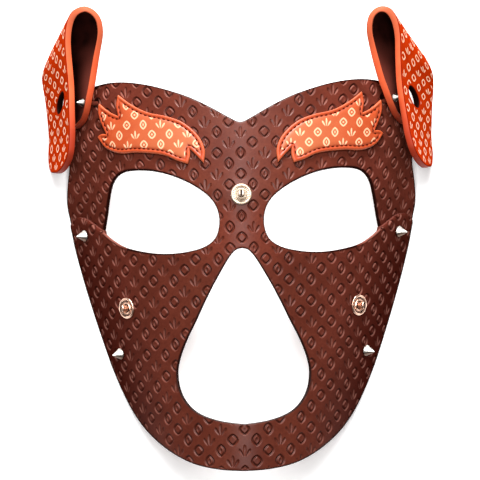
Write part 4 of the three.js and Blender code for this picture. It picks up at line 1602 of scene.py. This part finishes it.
# %% [markdown]
# ## The ears
# The ear's pattern has the width of the strip across and its length downwards, so that the print
# stands upright on the outer flap. Printed orange leather is on the outside of the loop, the dark
# lining inside, and the thick cut edge between them is painted orange. The paint runs on over the
# lining for almost a millimetre, as it does when an edge is dipped or dabbed.

# %% Ear leather
ear_layout = Layout(motif_set(0.88, 0.95, marked=False), 5.7, 10.8, (3.0, 1.0))
ear_scale = 38.0    # pattern width of an ear, which is a little wider or narrower once bent
ear_print_inset = 1.6
ear_shoulder = 0.9    # the lining side is painted like the edge this far in
hole_radius, hole_share, hole_lean = 6.3, 0.37, 0.45


def ear_loops(side, strip, place):
    """The outline of an ear's pattern, its round hole and the hole for its pin"""
    front_edge = np.stack([strip["low"] * ear_scale, -strip["t"]], 1)
    back_edge = np.stack([strip["high"] * ear_scale, -strip["t"]], 1)
    hole = np.array([hole_share * ear_scale, -float(ear_forms[side]["hole"])])
    punched = round_hole(place, hole, hole_radius, 40)
    punched[:, 0] -= hole_lean * (punched[:, 1] - hole[1])
    pin = round_hole(place, (pin_share * ear_scale, -float(pin_along)), stud_shank + gap, 16)
    return [counter_clockwise(np.vstack([front_edge, back_edge[::-1]])), punched, pin]


def ear_piece(side):
    strip = ear_strips[side]
    flip = mirror if side == "left" else np.ones(3)

    def bend(points):
        return ear_bend(strip, -points[:, 1], points[:, 0] / ear_scale)

    loops = ear_loops(side, strip, lambda points: bend(points)[0])

    def lift(points, layer, sunk):
        rim = distance_to(points, loops)
        place, normal = bend(points)
        half = ear_leather_thickness / 2
        top = half + 0.2 - turn_over(0.35, 0.6, rim)
        w = np.where(layer == 0, top, turn_over(0.3, 0.6, rim) - half)
        marks = {"pressed": 0 * w, "edge": np.clip(1 - rim / 0.8, 0, 1)}
        return to_part((place + normal * w[:, None]) * flip), marks

    def printed(middles):
        return (distance_to(middles, loops) > ear_print_inset) & (ear_layout.signed(middles) > 0)

    rings = rings_of(loops, (0.2, 0.5, ear_shoulder, ear_print_inset))
    finishes = [ear_leather, lining, painted_edge, burnished_edge, cream_print]
    return leather_piece("ear_folded_" + side, loops, rings + ear_layout.chains(loops, (0,)), lift,
                         finishes, 1.8, printed=printed, flip=side == "left", bored=loops[1:2],
                         painted=ear_shoulder)


for side in ("left", "right"):
    stands_for(ear_piece(side), "ear_" + side)

# %% [markdown]
# ## Turned metal
# Studs, screws and press studs are turned on a lathe in real life and here too: a profile is spun
# round its own axis and set square to the leather. The press studs have a ribbed ring, so their
# height is pushed up and down in step with the angle, and the screw slots are cut with a boolean.

# %% Slots
sharp_metal = 38
screw_slot = (5.0, 0.9, -1.6, -0.65)    # length, width, and the heights between which it is cut
bead_slot = (3.6, 1.3, 3.4, 6.0)


def slot_box(length, width, low, high):
    x, y = width / 2, length / 2
    corners = np.array([(a, b, c) for c in (low, high) for b in (-y, y) for a in (-x, x)])
    return corners, [[0, 2, 3, 1], [4, 5, 7, 6], [0, 1, 5, 4], [2, 6, 7, 3], [0, 4, 6, 2], [1, 3, 7, 5]]


def cut_slot(piece, finishes, size):
    """Takes a box out of the piece for good, and gives the cut the second finish"""
    cutter = mesh_piece("cutter", *slot_box(*size), finishes, np.ones(6), sharp_metal)
    cut = piece.modifiers.new("slot", "BOOLEAN")
    cut.operation = "DIFFERENCE"
    cut.object = cutter
    cut.solver = "EXACT"
    shaped = piece.evaluated_get(bpy.context.evaluated_depsgraph_get())
    whole = bpy.data.meshes.new_from_object(shaped)
    piece.modifiers.clear()
    piece.data = whole
    whole.set_sharp_from_angle(angle=math.radians(sharp_metal))
    bpy.data.objects.remove(cutter)


print("faces of the box that cuts a slot:", len(slot_box(*screw_slot)[1]))


# %% A small lathe
def spun(profile, sides, ribs):
    """Points and faces of a profile turned round its axis, whose rings may be wavy"""
    angle = turns(sides)
    places, faces, rings = [], [], []
    for k, (radius, level) in enumerate(profile):
        if radius == 0:
            rings.append([len(places)])
            places.append((0, 0, level))
            continue
        count, depth = ribs.get(k, (0, 0.0))
        wave = depth * np.cos(count * angle)
        rings.append(list(range(len(places), len(places) + sides)))
        places.extend(zip(radius * np.cos(angle), radius * np.sin(angle), level + wave))
    for low, high in zip(rings, rings[1:]):
        for j in range(sides):
            a, b = low[j % len(low)], low[(j + 1) % len(low)]
            c, d = high[(j + 1) % len(high)], high[j % len(high)]
            faces.append(list(dict.fromkeys((a, b, c, d))))
    return np.array(places, float), faces


no_ribs = {}


def turned(name, profile, sides, seat, height, finish, ribs=no_ribs, slot=None, dull=(0, 1),
           dull_finish=recess_shade):
    """profile: [radius, height] pairs from the axis round to the axis. ribs: {ring: (count, depth)}.
    The slot and the runs of the profile that dull names have the dull finish"""
    places, faces = spun(profile, sides, ribs)
    kinds = np.isin(np.arange(len(faces)) // sides, dull)
    finishes = [finish, dull_finish]
    piece = mesh_piece(name, places, faces, finishes, kinds, sharp_metal)
    if slot:
        cut_slot(piece, finishes, slot)
    point, normal = seat[:2]
    turn = Vector((0, 0, 1)).rotation_difference(Vector(normal)).to_matrix().to_4x4()
    shift = Matrix.Translation(Vector(point + normal * height))
    piece.data.transform(Matrix.Scale(0.001, 4) @ face_to_part @ shift @ turn)
    piece.data.update()
    return piece


flat_disc = [(0, 0), (1, 0), (0, 0)]
print("triangles on a disc with six sides:", len(spun(flat_disc, 6, no_ribs)[1]))


# %% Profiles
def stud_profile(shank, size):
    radius, top = 3.3 * size, 6.0 * size
    return [(0, -shank), (stud_shank, -shank), (stud_shank, 0), (radius - 0.25, 0), (radius, 0.2),
            (radius, 0.5), (radius - 0.3, 0.85), (0.62, top - 0.75), (0.42, top - 0.3),
            (0.2, top - 0.06), (0, top)]


def post_profile(shank):
    """Shank, flange with a rolled rim, a ribbed dish, a collar, and the post with its bead"""
    return [(0, -shank), (snap_shank, -shank), (snap_shank, 0),
            (6.0, 0), (6.25, 0.25), (6.25, 0.55), (6.05, 0.85), (5.7, 1.05), (5.3, 1.1), (5.0, 0.95),
            (4.8, 0.7), (4.2, 0.72), (3.6, 0.74),
            (3.4, 1.0), (3.15, 1.2), (2.9, 1.15), (2.6, 0.8),
            (2.05, 0.95), (1.85, 2.6), (1.85, 3.3), (2.08, 3.85), (2.1, 4.3), (2.0, 4.75),
            (1.8, 5.05), (1.5, 5.2), (0, 5.2)]


screw_profile = [(0, -1.2), (2.2, -1.2), (2.9, -1.1), (3.3, -0.85), (3.5, -0.5), (3.5, 0), (0, 0)]
cap_profile = [(0, -1.4), (2.4, -1.4), (3.9, -1.28), (5.1, -0.95), (5.8, -0.5), (6.0, -0.15),
               (6.0, 0), (0, 0)]
dish_ribs = {10: (24, 0.1), 11: (24, 0.14), 12: (24, 0.1)}
print("points on the longest profile:", len(post_profile(1)))

# %% Set the press studs in the leather
snap_clear = 0.8    # between the cap and the leather, once the shank has passed it
post_sides, cap_sides = 96, 48
snap_looks = {"bridge": (pale_gold, "bridge_snap_metal", (0, 1, 17)),
              "cheek": (rose_gold, "cheek_snap_metal", (0, 1, 10, 16))}
for name in snap_seats:
    seat = seats[name]
    finish, metal_slot, dull = snap_looks[name.split("_")[0]]
    post = turned("press_post_" + name, post_profile(leather + snap_clear), post_sides, seat, gap,
                  finish, ribs=dish_ribs, slot=bead_slot, dull=dull)
    cap = turned("press_cap_" + name, cap_profile, cap_sides, seat, -leather - gap - snap_clear, finish)
    stands_for(post, "snap_post_" + name)
    stands_for(cap, "snap_cap_" + name)
print("press studs set:", len(snap_seats))

# %% Set the cone studs and their screws
stud_sides = 40
stud_clear, ear_stud_clear = 0.3, 1.9    # between the screw and the leather
for name in [name for name in seats if name not in snap_seats]:
    through, clear, size, dull_finish = leather, stud_clear, 1, recess_shade
    if name.startswith("cheek_upper"):
        through = leather + lap_depth
    if name.startswith("ear"):
        through, clear = ear_strips[name[4:]]["through"], ear_stud_clear
        size, dull_finish = pin_size, mask_leather
    cone = turned("cone_stud_" + name, stud_profile(through + gap + clear, size), stud_sides,
                  seats[name], gap, silver, dull_finish=dull_finish)
    screw = turned("back_screw_" + name, screw_profile, stud_sides, seats[name],
                   -through - gap - clear, silver, slot=screw_slot)
    stands_for(cone, "stud_" + name)
    stands_for(screw, "screw_" + name)
